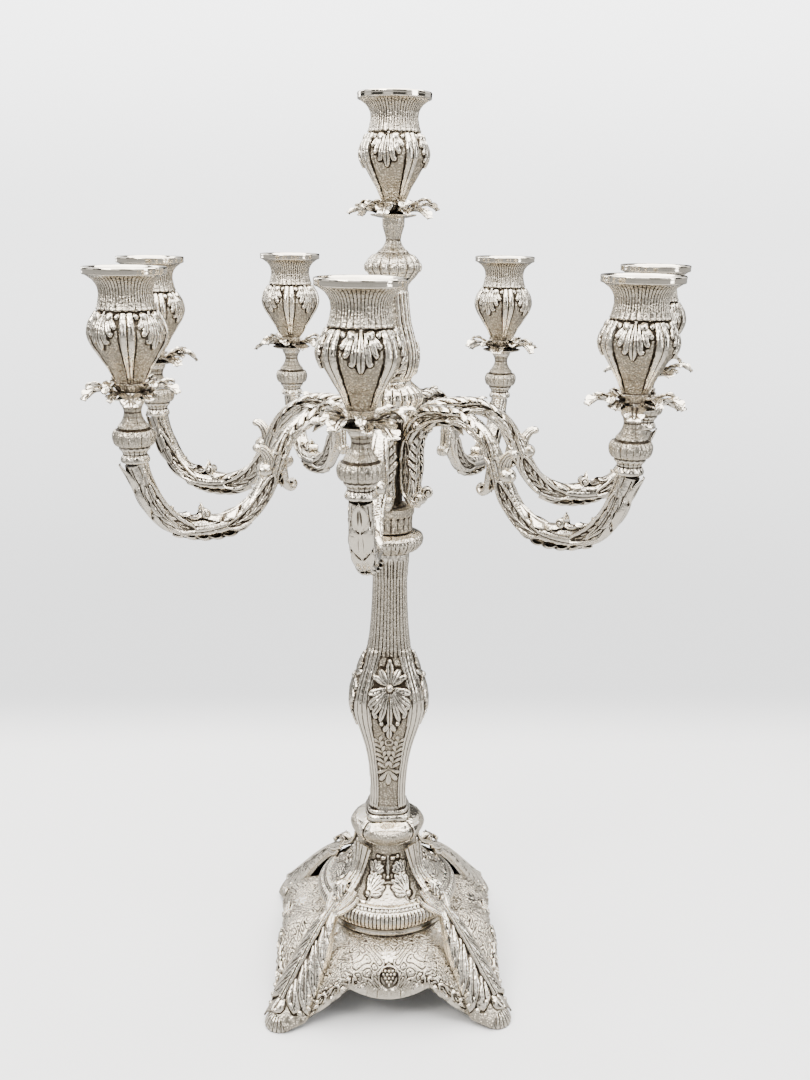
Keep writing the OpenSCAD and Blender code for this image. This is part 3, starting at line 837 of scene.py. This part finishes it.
def arm_part():
    part = arm_bar(ARM_PATH, 460, 72, arm_relief)
    part.merge(coil((24.3, 0, 355.4), 3.7, 3.3))
    part.merge(ball((91.2, 0, 381.6), 5.2, (1.1, 1.05, 0.95), cols=36))
    part.merge(coil((131.5, 0, 360.3), 3, 4.2))
    part.merge(coil((22.6, 0, 403.2), 3.2, 4.6, direction=-1))
    part.merge(arm_bar(ARM_HOOK, 90, 32, ridged))
    part.merge(arm_bar(ARM_HORN, 60, 40, ridged))
    part.merge(ball((96, 0, 395.6), 2.7, (1, 1.3, 0.9), cols=24))
    return part.merge(arm_leaves())


def build_arms():
    mesh = mesh_of("arm", arm_part(), CAST, 14, 1.7)
    for k in range(1, ARMS + 1):
        piece(f"arm_{k}_silver", mesh, "branches", f"arm_{k}", outwards(f"candle_nozzle_{k}"))


# ---- centre of the branches

def hub_relief(theta, z, r):
    h = banded(theta, z, [(348, 412, 1, 0.5, 14, 0.25), (331.5, 341.5, 0.6, 0.5, 20, 0.3)])
    # the stippled collar is kept out of the painted shade on the rest of the tube
    return h, 0.9 * window(z, 328, 347.2, 0.4)


HUB = [(3.2, 330.2), (13.8, 330.2), (14.6, 331.4), (14.3, 336), (14.6, 341), (15.7, 342.6), (15.8, 345),
       (15.2, 347), (9.5, 347.4), (7.6, 350), (7.6, 412.8), (3.2, 412.8)]
HUB_RING = [(17.4, 413.1), (19.2, 415.3), (20.4, 419.2), (19.3, 423), (15.8, 426.2), (12.8, 428.8),
            (12.3, 429.9)]
BALUSTER = [(430.1, 12.2, 2.4), (433, 13.6, 2.6), (436, 15, 2.8), (439.5, 16, 3), (444, 16.5, 3),
            (449, 16.2, 3), (455, 14.9, 3), (461, 13, 3), (467, 11.4, 2.8), (473.5, 10.5, 2.8),
            (480, 9.8, 2.6), (485.9, 9.6, 2.2)]


def hub_ring_relief(theta, z, r):
    belly = window(z, 414.5, 425, 1.5)
    return belly * (0.9 * reeds(theta, 20) - 0.75), 0.5 * belly * (1 - reeds(theta, 20))


def square_section(rows):
    """A section for lathe whose superellipse power follows rows of (height, half width, power)."""
    table = np.asarray(rows, float)
    return lambda theta, z: squareness(theta, np.interp(z, table[:, 0], table[:, 2]))


def loft(rows, cols, relief, inside, step=0.4, soft=0.3):
    """A four-sided turned body from rows of (height, half width, power)."""
    return lathe([(half, z) for z, half, _ in rows], cols, step, soft, square_section(rows), relief, inside)


def baluster_relief(theta, z, r):
    x, away = side_of(theta, r)
    ribs = top_of(hump(away, 1.1), hump(away - 2.5, 1.1 * 0.95), 0.6 * hump(away - 5, 1.1 * 0.7))
    spray = sprig(x, z - 435, [
        (0, 0, 180, 19, 2.2, 1.6), (0.6, 0, 158, 15, 2.2, 1.5), (1, 0.5, 136, 11.5, 2.2, 1.4),
        (1, 1, 112, 8.5, 2, 1.3)], [(0, 0.4, 2.2, 1.8)])
    ground = window(z, 434, 482, 1) * (away > 6.5) * (spray < 0.05)
    return top_of(0.95 * ribs * window(z, 434, 484, 2), spray) - 0.3 * ground, 0.9 * ground


def build_centre():
    # the hub tube above its stippled collar is painted dark, a painted shade among the arms
    hub = mesh_of("hub_tube", lathe(HUB, 128, 0.6, 0.3, relief=hub_relief), HUB_SHADE_SILVER)
    piece("hub_tube", hub, "branches", "branch_hub")
    ring = lathe(HUB_RING, 240, 0.4, 0.3, relief=hub_ring_relief, inside=[(3.2, 429.9), (3.2, 413.1)])
    cast("gadroon_ring", ring, "branches", "hub_ring")
    body = loft(BALUSTER, 300, baluster_relief, [(3.2, 485.9), (3.2, 430.1)])
    cast("baluster", body, "branches", "upper_baluster")


# ---- stem

STEM = [
    (119.8, 15.9, 4), (122, 16, 4), (123.2, 15.2, 4), (124, 14.2, 4), (126.2, 14.4, 4), (127.4, 13.4, 3.6),
    (129, 13.1, 3.6), (136, 12.6, 3.2), (144, 12.8, 3), (152, 13.3, 3), (160, 14.1, 3), (168, 15.3, 3),
    (176, 17.1, 2.8), (184, 19.3, 2.8), (192, 22.2, 2.6), (199, 24.5, 2.5), (206, 25.9, 2.5),
    (214, 25.9, 2.5), (221.5, 24.3, 2.5), (229, 21.3, 2.6), (237, 17.8, 2.8), (245, 15, 3), (255, 13.5, 3),
    (266, 12.5, 3), (281, 11.7, 3), (295, 11.3, 3), (306, 11.6, 3), (315.9, 12.8, 2.6)]


def laurel(x, y):
    """Engraved spray: leaves in pairs up two curved stalks, and a fan of leaves below."""
    petals = [(0, 158, 0, 9, 1.5, 0.8), (0.3, 158.5, 32, 8, 1.4, 0.8), (0.6, 159.5, 66, 6, 1.2, 0.7),
              (0, 168, 180, 5, 1.1, 0.6)]
    for i in range(6):
        foot = (1.6 + 0.62 * i, 160.5 + 3.7 * i)
        petals += [(*foot, 128 - 2 * i, 5.4, 1.15, 0.7), (*foot, 196 - 2 * i, 4.8, 1.05, 0.7)]
    return top_of(sprig(x, y, petals), 0.6 * hump(np.hypot(x, y - 179) - 1.9, 0.5))


# A fan of long petals that hangs from a boss on the stem's shoulder, with a flower above
SHOULDER_PETALS = [
    (0, 224, 0, 25, 2.3, 2.4, 0.5), (0.8, 224, 15, 22, 2.4, 2.3), (1.2, 224.4, 31, 20, 2.6, 2.4),
    (1.4, 225, 49, 17.5, 2.7, 2.3), (1.4, 226, 70, 14, 2.4, 2.1), (0.2, 202, 24, 8.5, 1.9, 1.9),
    (0, 200, 0, 12, 2.1, 2.2, 0.5), (0, 227, 180, 15, 3, 2.6, 0.5), (0.8, 227, 150, 12, 2.7, 2.4),
    (1.2, 227, 122, 10.5, 2.3, 2.1)]
SHOULDER_KNOBS = [(12.2, 212.6, 1.9, 2.4), (9.6, 206.4, 1.8, 2.2), (5.4, 200.6, 1.7, 2.1),
                  (0, 225.5, 2.6, 3.2), (10.2, 232, 1.8, 2), (0, 242.4, 1.7, 2.2)]


def stem_relief(theta, z, r):
    x, away = side_of(theta, r)
    panel = window(z, 131, 247, 3)
    gap = np.interp(z, [130, 165, 205, 240], [1.5, 1.6, 3.2, 2.4])
    ribs = panel * 1.1 * top_of(hump(away, 0.8 * gap), hump(away - 1.2 * gap, gap * 0.62),
                                0.5 * hump(away - 2.05 * gap, gap * 0.22))
    spray = 0.55 * laurel(x / 1.35, 158 + (z - 158) / 1.2)
    relief = sprig(x, z, SHOULDER_PETALS, SHOULDER_KNOBS)
    ground = panel * (away > 2.5 * gap) * (relief < 0.05)
    reeded = window(z, 248, 309, 5)
    comb = reeded * (1.1 * reeds(theta, 36) - 0.75)
    tips = window(z, 300, 314, 2) * (0.7 * reeds(theta + TAU / 48, 24) - 0.35)
    height = top_of(ribs, relief, spray * (relief < 0.05)) - 0.35 * ground + comb + tips
    return height, np.clip(ground * (1 - 0.8 * smooth(spray * 3)) + 0.35 * reeded, 0, 1)


CAPITAL = [(12.6, 316.1), (15, 317), (18.6, 318.7), (21.3, 321.9), (22.1, 324.9), (21.4, 327.4),
           (19.6, 328.6), (15.6, 329.9)]


def capital_relief(theta, z, r):
    h = banded(theta, z, [(316.5, 322, 1.2, 0.9, 24, 0.6), (322.5, 327.5, 0.8, 0.55, 48, 0.4)])
    return h, 0.55 * window(z, 316.5, 322, 1.2) + 0.3 * window(z, 322.5, 327.5, 0.8)


DISH = [(20.9, 103.7), (23.6, 105.3), (25.8, 108.3), (26.8, 111.4), (26.6, 113.2), (25.4, 115.4),
        (21.6, 117.7), (16, 119.5)]


def dish_section(theta, z):
    return squareness(theta, 2 - 0.25 * window(z, 107, 116, 3))


def dish_relief(theta, z, r):
    """Four cushions with an eye-shaped face on each side and creases between them."""
    x, away = side_of(theta, r)
    lens = 17.5 * np.sqrt(np.clip(1 - ((z - 110.6) / 6.3) ** 2, 0, 1))
    inside = smooth((lens - np.abs(x)) / 0.5)
    crease = -0.6 * hump(away, 1.1) * window(z, 105, 118, 1)
    line = 0.2 * hump(np.abs(x) - lens, 0.9) * (lens > 1)
    ground = window(z, 104.5, 118, 0.8) * (away > 1)
    return -0.15 * inside + crease + line, 0.55 * ground * inside


def build_stem():
    bore = [(10.5, 315.9), (8.5, 295), (9, 260), (15, 215), (9, 150), (12.5, 121), (12.5, 119.8)]
    cast("stem_cast", loft(STEM, 340, stem_relief, bore, 0.62), "base", "stem")
    flange = lathe(CAPITAL, 300, 0.4, 0.25, relief=capital_relief, inside=[(9.7, 329.9), (9.7, 316.1)])
    cast("capital_cast", flange, "base", "stem_capital")
    dish = lathe(DISH, 300, 0.4, 0.3, dish_section, dish_relief, [(13, 119.5), (18, 103.7)])
    cast("dish_cast", dish, "base", "dish_collar")


# ---- foot

DOME = [(69.1, 41.2, 2), (73, 36.7, 2.05), (78, 30.7, 2.15), (84, 25.3, 2.3), (90, 22, 2.4),
        (96.6, 20.5, 2.4), (103.5, 19.9, 2.4)]
# Two fans of feathers in each wing: angles in degrees and lengths
LOW_FEATHERS = [(-98, 10), (-112, 13.5), (-126, 15.5), (-140, 16), (-154, 15), (-168, 12)]
HIGH_FEATHERS = [(-112, 9), (-130, 10.5), (-148, 11.5), (-166, 11), (-184, 9.5)]


def dome_relief(theta, z, r):
    x, _ = side_of(theta, r)
    y = (z - 69) * 1.22
    relief = sprig(
        x, y, [(15, 5, *feather, 2.1, 1.1, 0.4) for feather in LOW_FEATHERS]
        + [(11.4, 17.5, *feather, 1.8, 0.95, 0.4) for feather in HIGH_FEATHERS] + [(0, 32, 0, 15, 1.2, 0.8)],
        [(3.4, 30.2, 1.9, 1.5), (7, 31.4, 1.5, 1.1), (15, 5.4, 1.9, 1.7), (11.6, 17.6, 1.5, 1.4),
         (0, 16, 1.2, 0.8)])
    arch = 12.8 - (x / 13.5) ** 2 * 9.5
    line = 0.7 * hump(y - arch, 0.7) * (np.abs(x) < 16)
    plain = (y < arch) & (np.abs(x) < 15.5)
    ground = (relief < 0.05) & ~plain & (z > 70)
    return top_of(relief, line) - 0.25 * ground, 0.95 * ground + 0.3 * plain


RING = [(42, 47.6), (46.5, 47.6), (47.6, 49.5), (47, 51.4), (46.8, 53.4), (48.6, 54.8), (50.1, 57.2),
        (50.6, 60), (50, 62.6), (48.4, 65), (46.2, 66.2), (45.6, 66.8), (44.6, 67.6), (44.4, 68.6),
        (43.2, 69), (39.5, 69)]


def ring_relief(theta, z, r):
    coin = banded(theta, z, [(54.4, 65.4, 0.4, 1, 112, 0.8)])
    beads = banded(theta, z, [(66.8, 68.4, 0.4, 0.5, 96, 0.25)]) * (r > 43)
    return coin + beads, 0.1 * window(z, 66, 69, 0.5)


# The foot's sides: height and radius of the neck, half the width of a side, and the shell's thickness
APRON_TOP, APRON_NECK, APRON_HALF, SHELL = 47.4, 46.5, 77.2, 2.4
NECK_BORE = 36.2
CUSP_HALF, CUSP_LOW, CUSP_TOP = 26.5, 20.5, 29.7  # the lobe that hangs in the middle of a side
CLEAR = 0.1  # how far the foot's shell stays above the table


def edge_height(u):
    """Height of the lower edge at the distance u along a side from its middle."""
    cusp = CUSP_LOW + (CUSP_TOP - CUSP_LOW) * (u / CUSP_HALF) ** 2
    slope = CUSP_TOP * np.clip(1 - (u - CUSP_HALF) / 42, 0, 1) ** 1.3
    return np.where(u <= CUSP_HALF, cusp, slope) + CLEAR


def apron_point(theta, f, cut):
    """A place on the foot's bulged side: theta from the middle of the side, f from neck 0 to edge 1."""
    corner = np.abs(np.sin(2 * theta)) ** 4
    full = APRON_HALF / np.cos(theta) + 2.3 * corner
    reach = full - cut
    low = edge_height(full * np.abs(np.sin(theta)))
    bow = 2.6 - 1.5 * corner
    r = APRON_NECK + f * (reach - APRON_NECK)
    z = low + (APRON_TOP - cut - low) * (1 - f ** bow) ** (1 / bow)
    return np.stack([r * np.cos(theta), r * np.sin(theta), z], axis=-1)


def c_scroll(x, y, centre, radius, start, stop, half, height):
    """Part of a ring from angle start to stop in degrees, with a bead at each end."""
    dx, dy = x - centre[0], y - centre[1]
    angle = np.mod(np.degrees(np.arctan2(dy, dx)) - start, 360)
    arc = height * hump(np.hypot(dx, dy) - radius, half) * (angle < stop - start)
    for end in (start, stop):
        a = math.radians(end)
        spot = (centre[0] + radius * math.cos(a), centre[1] + radius * math.sin(a))
        arc = top_of(arc, knob(x, y, spot, half * 1.9, height * 1.25))
    return arc


def apron_relief(x, y):
    """Relief of one side, by the distance x along it and y up from its lower edge."""
    ax = np.abs(x)
    border = top_of(1.5 * hump(y - 1.1, 1.3), 0.7 * hump(y - 3.7, 0.6) * (ax < 21))
    scrolls = top_of(*[c_scroll(ax, y, *row) for row in (
        ((21.4, 6.4), 3.2, 200, 420, 0.8, 1.5), ((29.6, 6.2), 3, 120, 330, 0.8, 1.5),
        ((12.8, 5.6), 3.4, 190, 350, 0.7, 1.2), ((4.6, 5.2), 2.6, 200, 340, 0.6, 1),
        ((37.5, 7.4), 3.6, 60, 300, 0.8, 1.4), ((46.5, 8.2), 3.8, 80, 320, 0.9, 1.5))])
    # shell work between the border and the corner leaf
    shell = window(ax, 35, 64, 3) * window(y, 4, 15, 2)
    curls = np.sin(1.15 * ax + 1.4 * np.sin(0.7 * y)) * np.sin(1.25 * y + 0.4 * ax)
    shell = shell * np.clip(curls, 0, 1)
    # engraved swirls: level lines of a rolling surface
    roll = np.sin(0.42 * ax + 1.6 * np.sin(0.3 * y + 0.4)) * np.sin(0.38 * y + 1.5 * np.sin(0.33 * ax))
    engraved = hump(np.mod(1.35 * roll, 1) - 0.5, 0.2) * window(y, 5, 50, 2)
    rosette = sprig(x, y, [(0, 30, angle, 5.6, 1.5, 0.55) for angle in (25, 70, 115, 155)],
                    [(0, 30, 1.5, 0.8)])
    cup = 0.55 * hump(np.hypot(x / 7, (y - 14.5) / 8.2) - 1, 0.1)
    berries = top_of(*[knob(x, y, (2.5 * i + 1.25 * (row % 2), 19.6 - 2.2 * row), 1.15, 1.7)
                       for row in range(5) for i in range(-2 + row // 2, 3 - (row + 1) // 2)])
    bowl = smooth((6.7 - np.hypot(x, (y - 14.8) * 0.85)) / 0.6)
    raised = top_of(border, scrolls, shell, 0.6 * rosette, cup, berries * (bowl > 0))
    engraved = engraved * (bowl <= 0) * (raised < 0.05)
    ground = 0.5 * ((raised < 0.08) & (y > 3)) * (1 - 0.5 * bowl)
    return raised - 0.9 * bowl * (berries <= 0) - 0.55 * engraved, ground


def apron_part():
    """One side of the foot, a quarter of the apron, centred on +X and closed all round."""
    cols, rows, back = 360, 128, 16
    theta = np.linspace(-math.pi / 4, math.pi / 4, cols)[None, :]
    f = np.linspace(0, 1, rows)[:, None] ** 0.8
    outer = apron_point(theta, f, 0)
    steps = np.linalg.norm(np.diff(outer, axis=0), axis=2)
    climb = np.concatenate([np.zeros((1, cols)), np.cumsum(steps, axis=0)])
    height, ground = apron_relief(outer[..., 1], climb[-1:] - climb)
    fade = smooth((math.pi / 4 - np.abs(theta)) / 0.03) * smooth((1 - f) / 0.002) * smooth(climb / 2)
    normal = -grid_normals(outer, False)
    outer = outer + normal * (height * fade)[..., None]
    outer[..., 2] = np.maximum(outer[..., 2], CLEAR)
    neck = np.stack([NECK_BORE * np.cos(theta), NECK_BORE * np.sin(theta), APRON_TOP + 0 * theta], axis=-1)
    g = np.linspace(1, 0, back)[:, None]
    inner = apron_point(theta, g, SHELL)
    inner[..., 2] = np.maximum(inner[..., 2], CLEAR)
    roof = neck - np.array([0, 0, SHELL])
    grid = np.concatenate([neck, outer, inner, roof], axis=0)[:, ::-1]
    stipple = np.concatenate([0 * theta, 0.95 * ground * fade, np.full((back + 1, cols), 0.3)])[:, ::-1]
    total = len(grid)
    part = Part().add(grid, [grid_faces(total, cols, False, True)], stipple.reshape(-1))
    for column, flip in ((0, False), (cols - 1, True)):
        ring = np.arange(total) * cols + column
        part.f.append((ring[::-1] if flip else ring)[None, :])
    return part


def toe_part():
    """Shell-shaped toe under a corner leaf, built along +X."""
    profile = [(0.3, 0.05), (10.2, 0.05), (11.1, 0.9), (10.9, 2.4), (9.8, 4.8), (8.2, 7.4), (5.6, 9.4),
               (2.6, 10.3), (0.3, 10.5)]

    def relief(theta, z, r):
        fan = smooth((r - 3.2) / 2) * window(z, 0.9, 10.4, 0.6)
        return fan * (reeds(theta, 22) - 0.85), 0 * r

    return Part().merge(lathe(profile, 176, 0.35, 0.3, relief=relief), Matrix.Translation((104, 0, 0)))


# Top line of the long leaf, in the diagonal's own plane: distance out and height
LEAF_LINE = [(52, 66), (57, 62.4), (62, 58.4), (68, 53), (77, 44), (86, 34.4), (95, 24.8), (102, 17.6),
             (110, 11)]
# Lobes of the long leaf: where each leaves the stalk, its angle in degrees, length and half width
LEAF_LOBES = [(1, 30, 19, 5.2), (13, 37, 24, 6.6), (27, 40, 26, 7.2), (41, 39, 24, 7), (54, 32, 18, 6)]


def long_leaf():
    """The long acanthus leaf as one cast plate that arches over the diagonal."""
    rows, cols, thick = 180, 110, 2.0
    line = catmull([(x, 0, z) for x, z in LEAF_LINE], rows)
    s = np.concatenate([[0], np.cumsum(np.linalg.norm(np.diff(line, axis=0), axis=1))])[:, None]
    half = np.interp(s, [0, 12, 30, 48, 64, 82], [3.4, 8, 15, 18, 16.5, 10.5])
    t = np.linspace(-1, 1, cols)[None, :]
    y = -t * half
    lobes, knobs = [(0, -64, 0, 16, 5, 3.4, 0.3)], []
    for at, angle, length, width in LEAF_LOBES:
        a, out = math.radians(angle), 0.9 * length
        lobes.append((0.6, -at, angle, length, width, 3.4, 0.3))
        knobs.append((0.6 + out * math.sin(a), -at - out * math.cos(a), 2.6, 3.6))
    stalk = 3.6 * hump(np.abs(y) - 1, 1.2) * (s < 70)
    height = top_of(sprig(y, -s, lobes, knobs), stalk)
    height = height * smooth((1 - np.abs(t)) / 0.05)
    plate = np.stack([line[:, :1] + 0 * y, y, line[:, 2:] - 0.055 * y ** 2 + 1.0 - 1.6 * t ** 6], axis=-1)
    up = path_frame(line, BELOW)[2][:, None, :]
    ground = 0.7 * (height < 0.05)
    return sheet(plate + up * height[..., None], plate - up * thick,
                 np.concatenate([ground, 0 * ground + 0.3], axis=1))


def corner_part():
    """Scroll bracket, wing and long acanthus leaf of one corner, built along +X."""
    part = Part()
    # twin ribs of the bracket, from the dish to the wing
    rib = [(25.2, 103), (26.6, 96), (28.6, 89), (32, 83.2), (37, 79), (43, 75.6), (48, 71.5), (52, 67)]
    spread = [4.6, 3.6, 2.8, 2.9, 3.6, 4, 3.4, 2]
    for sign in (1, -1):
        for shift, size in ((-0.6, 1.25), (2.6, 1)):
            rows = [(r, sign * (w + shift * (1 - i / 9)), z - 0.25 * shift, size, size)
                    for i, ((r, z), w) in enumerate(zip(rib, spread))]
            part.merge(sweep(catmull(rows, 60), (0, 1, 0), ellipse, 14))
    web = catmull([(r - 0.9, 0, z - 0.5, 1.4, w + 0.6) for (r, z), w in zip(rib, spread)], 60)
    part.merge(sweep(web, (0, 1, 0), ellipse, 40, relief=ridged))
    # scroll and curled leaf standing off the bracket
    part.merge(coil((44.6, 0, 77.4), 3.3, 3.4, cols=44))
    curl = [(37.5, 0, 79.4), (42.5, 0, 81.2), (47, 0, 79.6), (50.2, 0, 75.6), (52.4, 0, 73.2),
            (55.6, 0, 73.4)]
    part.merge(leaf(curl, ABOVE, tapered(5.4), lobes=5, rows=44, cols=17, furrow=1, cup=-0.2, thick=1.3,
                    skew=0.9, notch=0.5, rib=0.6))
    # wing: feathers that start apart and close on a common tip
    for i in range(-4, 5):
        y = 2.7 * i
        spine = [(39 + 0.5 * abs(i), y * 1.05, 77.6 - 0.30 * i * i), (45, y, 74.4 - 0.34 * i * i),
                 (50.4, 0.86 * y, 70.6 - 0.24 * i * i), (55, 0.6 * y, 66.4 - 0.12 * i * i),
                 (58.8, 0.25 * y, 61.6), (60.6, 0.1 * y, 58.4)]
        spine = [(a, b, c + 0.9 * (i % 2)) for a, b, c in spine]
        part.merge(leaf(spine, (0.03 * y, -1, 0.06 * y), tapered(2, 0.8, 0.3, 0.5), lobes=1, rows=44,
                        cols=13, furrow=0.2, cup=-0.75, thick=1.4, skew=0.4, notch=0.1, rib=-0.5))
    part.merge(long_leaf())
    for sign in (1, -1):
        for x, y, z, size in ((99, 13.6, 12.4, 1.9), (94, 17.2, 15.2, 1.7), (88.6, 19.8, 18.8, 1.6),
                              (103.6, 10.8, 9.6, 1.7), (91, 14.4, 21.6, 1.5)):
            part.merge(ball((x, sign * y, z), size, cols=14))
    part.merge(ball((106.2, 0, 13.2), 4, (1.05, 1, 0.85), cols=30))
    part.merge(toe_part())
    return part


def build_foot():
    bore = [(17.6, 103.5), (18, 96.5), (19, 90), (22.5, 84), (28, 78), (34, 73), (38.5, 69.1)]
    cast("dome_cast", loft(DOME, 384, dome_relief, bore, 0.4, 0.25), "base", "base_dome")
    ring = lathe(RING, 672, 0.5, 0.2, relief=ring_relief, inside=[(38.4, 69), (38.4, 47.6)])
    cast("milled_edge", ring, "base", "milled_ring")
    side = mesh_of("apron_side", apron_part(), CAST)
    corner = mesh_of("corner", corner_part(), CAST, 14, 1.3)
    for k in range(CORNERS):
        piece(f"apron_side_{k + 1}", side, "base", "base_foot", turned(90 * k))
        piece(f"corner_{k + 1}", corner, "base", f"corner_leaf_{k + 1}", turned(45 + 90 * k))


# ---- studio

BACKDROP = (0.9928, 0.9964, 1, 1)


def studio_world():
    """Bright room for the metal to mirror, with darker gaps between the lights; plain to the camera."""
    world = bpy.data.worlds.new("studio")
    bpy.context.scene.world = world
    n = Nodes(world)
    n.tree.nodes.clear()
    x, y, z = n.split(n.node("ShaderNodeTexCoord").outputs["Generated"])
    azimuth = n.math("ARCTAN2", x, n.math("MULTIPLY", y, -1))
    bands = n.math("COSINE", n.math("MULTIPLY", n.math("ADD", azimuth, 0.35), 5))
    bands = n.ramp(bands, -0.15, 0.35, 0.07, 1.35)
    rise = n.ramp(z, -0.15, 0.6, 0.55, 1.7)
    dim_top = n.ramp(z, 0.75, 0.95, 1, 0.45)
    low_wall = n.ramp(z, -0.2, 0.05, 1, 0.75)
    level = n.math("MULTIPLY", n.math("MULTIPLY", bands, rise), n.math("MULTIPLY", dim_top, low_wall))
    mirrored = n.node("ShaderNodeBackground", {"Color": (1, 1, 1, 1)})
    n.link(level, mirrored.inputs["Strength"])
    plain = n.node("ShaderNodeBackground", {"Color": BACKDROP})
    n.link(n.ramp(z, -0.02, 0.2, 3.3, 4.9), plain.inputs["Strength"])
    seen = n.node("ShaderNodeLightPath").outputs["Is Camera Ray"]
    n.blend(seen, mirrored.outputs[0], plain.outputs[0], n.node("ShaderNodeOutputWorld").inputs[0])


def softbox(name, spot, target, size, power, tint=(1, 1, 1)):
    data = bpy.data.lights.new(name, "AREA")
    data.shape = "RECTANGLE"
    data.size, data.size_y = size
    data.energy = power
    data.color = tint
    o = place(name, data)
    o.location = spot
    o.rotation_euler = (Vector(target) - Vector(spot)).to_track_quat("-Z", "Y").to_euler()
    o.visible_camera = False
    return o


def pale_floor():
    """Round pale sweep: a matt floor that turns to the plain background's tone further out.
    Seen by anything but the camera it is darker: painted shade in what the metal mirrors.
    """
    n = Nodes(bpy.data.materials.new("floor_paper"))
    coords = n.node("ShaderNodeTexCoord").outputs["Object"]
    reach = n.node("ShaderNodeVectorMath", operation="LENGTH")
    n.link(coords, reach.inputs[0])
    far = n.math("MAXIMUM", n.ramp(n.split(coords)["Y"], 0.31, 0.47),
                 n.ramp(reach.outputs["Value"], 0.7, 1.3))
    seen = n.node("ShaderNodeLightPath").outputs["Is Camera Ray"]
    paper = n.mix(n.ramp(n.noise(coords, 3), 0.3, 0.7), (0.80, 0.80, 0.805), (0.82, 0.82, 0.82))
    # painted shade in the reflections: anything but the camera sees the floor dark grey
    n.link(n.mix(seen, (0.26, 0.26, 0.26), paper), n.shader.inputs["Base Color"])
    n.shader.inputs["Roughness"].default_value = 0.6
    n.shader.inputs["Specular IOR Level"].default_value = 0.25
    glow = n.node("ShaderNodeEmission", {"Color": BACKDROP})
    # the sweep brightens with distance: 1.45 / (reach + 0.68) falls from 1 at 0.77 m to 0 far away
    nearness = n.math("DIVIDE", 1.45, n.math("ADD", reach.outputs["Value"], 0.68))
    tone = n.ramp(nearness, 1, 0, 2.2, 3.3)
    # painted shade in the reflections: the far glow is dimmer for anything but the camera
    n.link(n.math("MULTIPLY", tone, n.math("ADD", n.math("MULTIPLY", seen, 0.84), 0.16)),
           glow.inputs["Strength"])
    n.blend(far, n.shader.outputs[0], glow.outputs[0], n.tree.nodes["Material Output"].inputs["Surface"])
    edge, rings = 96, [0.0005, 0.2, 0.36, 0.44, 0.52, 1, 4, 14, 60]
    angle = np.linspace(0, TAU, edge, endpoint=False)
    v = [(r * math.cos(a), r * math.sin(a), 0) for r in rings for a in angle]
    faces = grid_faces(len(rings), edge, True)[:, ::-1].tolist() + [list(range(edge))]
    mesh = bpy.data.meshes.new("floor")
    mesh.from_pydata(v, [], faces)
    mesh.materials.append(n.owner)
    place("floor", mesh)


def camera():
    """The fitted view: focal length, place, and the picture's right and up directions."""
    data = bpy.data.cameras.new("view")
    data.lens, data.sensor_width, data.sensor_fit = 35.68, 36, "AUTO"
    o = place("view", data)
    right = Vector((0.99915326, -0.03885195, 0.01353832))
    up = Vector((-0.00176932, 0.28817475, 0.9575762))
    o.matrix_world = Matrix((right, up, right.cross(up))).transposed().to_4x4()
    o.matrix_world.translation = (-0.0195, -0.68316, 0.5286)
    bpy.context.scene.camera = o


def write_sizes():
    def plain(bounds):
        return [[float(c) for c in corner] for corner in bounds]
    bpy.context.view_layer.update()


camera()
studio_world()
pale_floor()
softbox("key", (-0.60, -0.65, 1.05), (0, 0, 0.4), (0.45, 0.35), 11, (1, 0.96, 0.9))
softbox("fill", (0.85, -0.45, 0.7), (0, 0, 0.35), (0.2, 0.8), 4)
softbox("top", (0.05, 0.1, 1.5), (0, 0, 0.3), (1.7, 1.7), 72, (1, 0.975, 0.94))
# lights only the matt floor; the metal does not mirror it
softbox("wash", (0, 0, 1.6), (0, 0, 0), (2, 2), 52).visible_glossy = False
softbox("back", (-0.7, 0.7, 0.8), (0, 0, 0.35), (0.25, 0.8), 4)
build_lights()
build_arms()
build_centre()
build_stem()
build_foot()
for hidden in ("tie_rod", "base_plate", "base_nut", "centre_rod", "hub_screws", "light_studs"):
    for kept_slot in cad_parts[hidden].material_slots:
        kept_slot.material = STEEL
write_sizes()
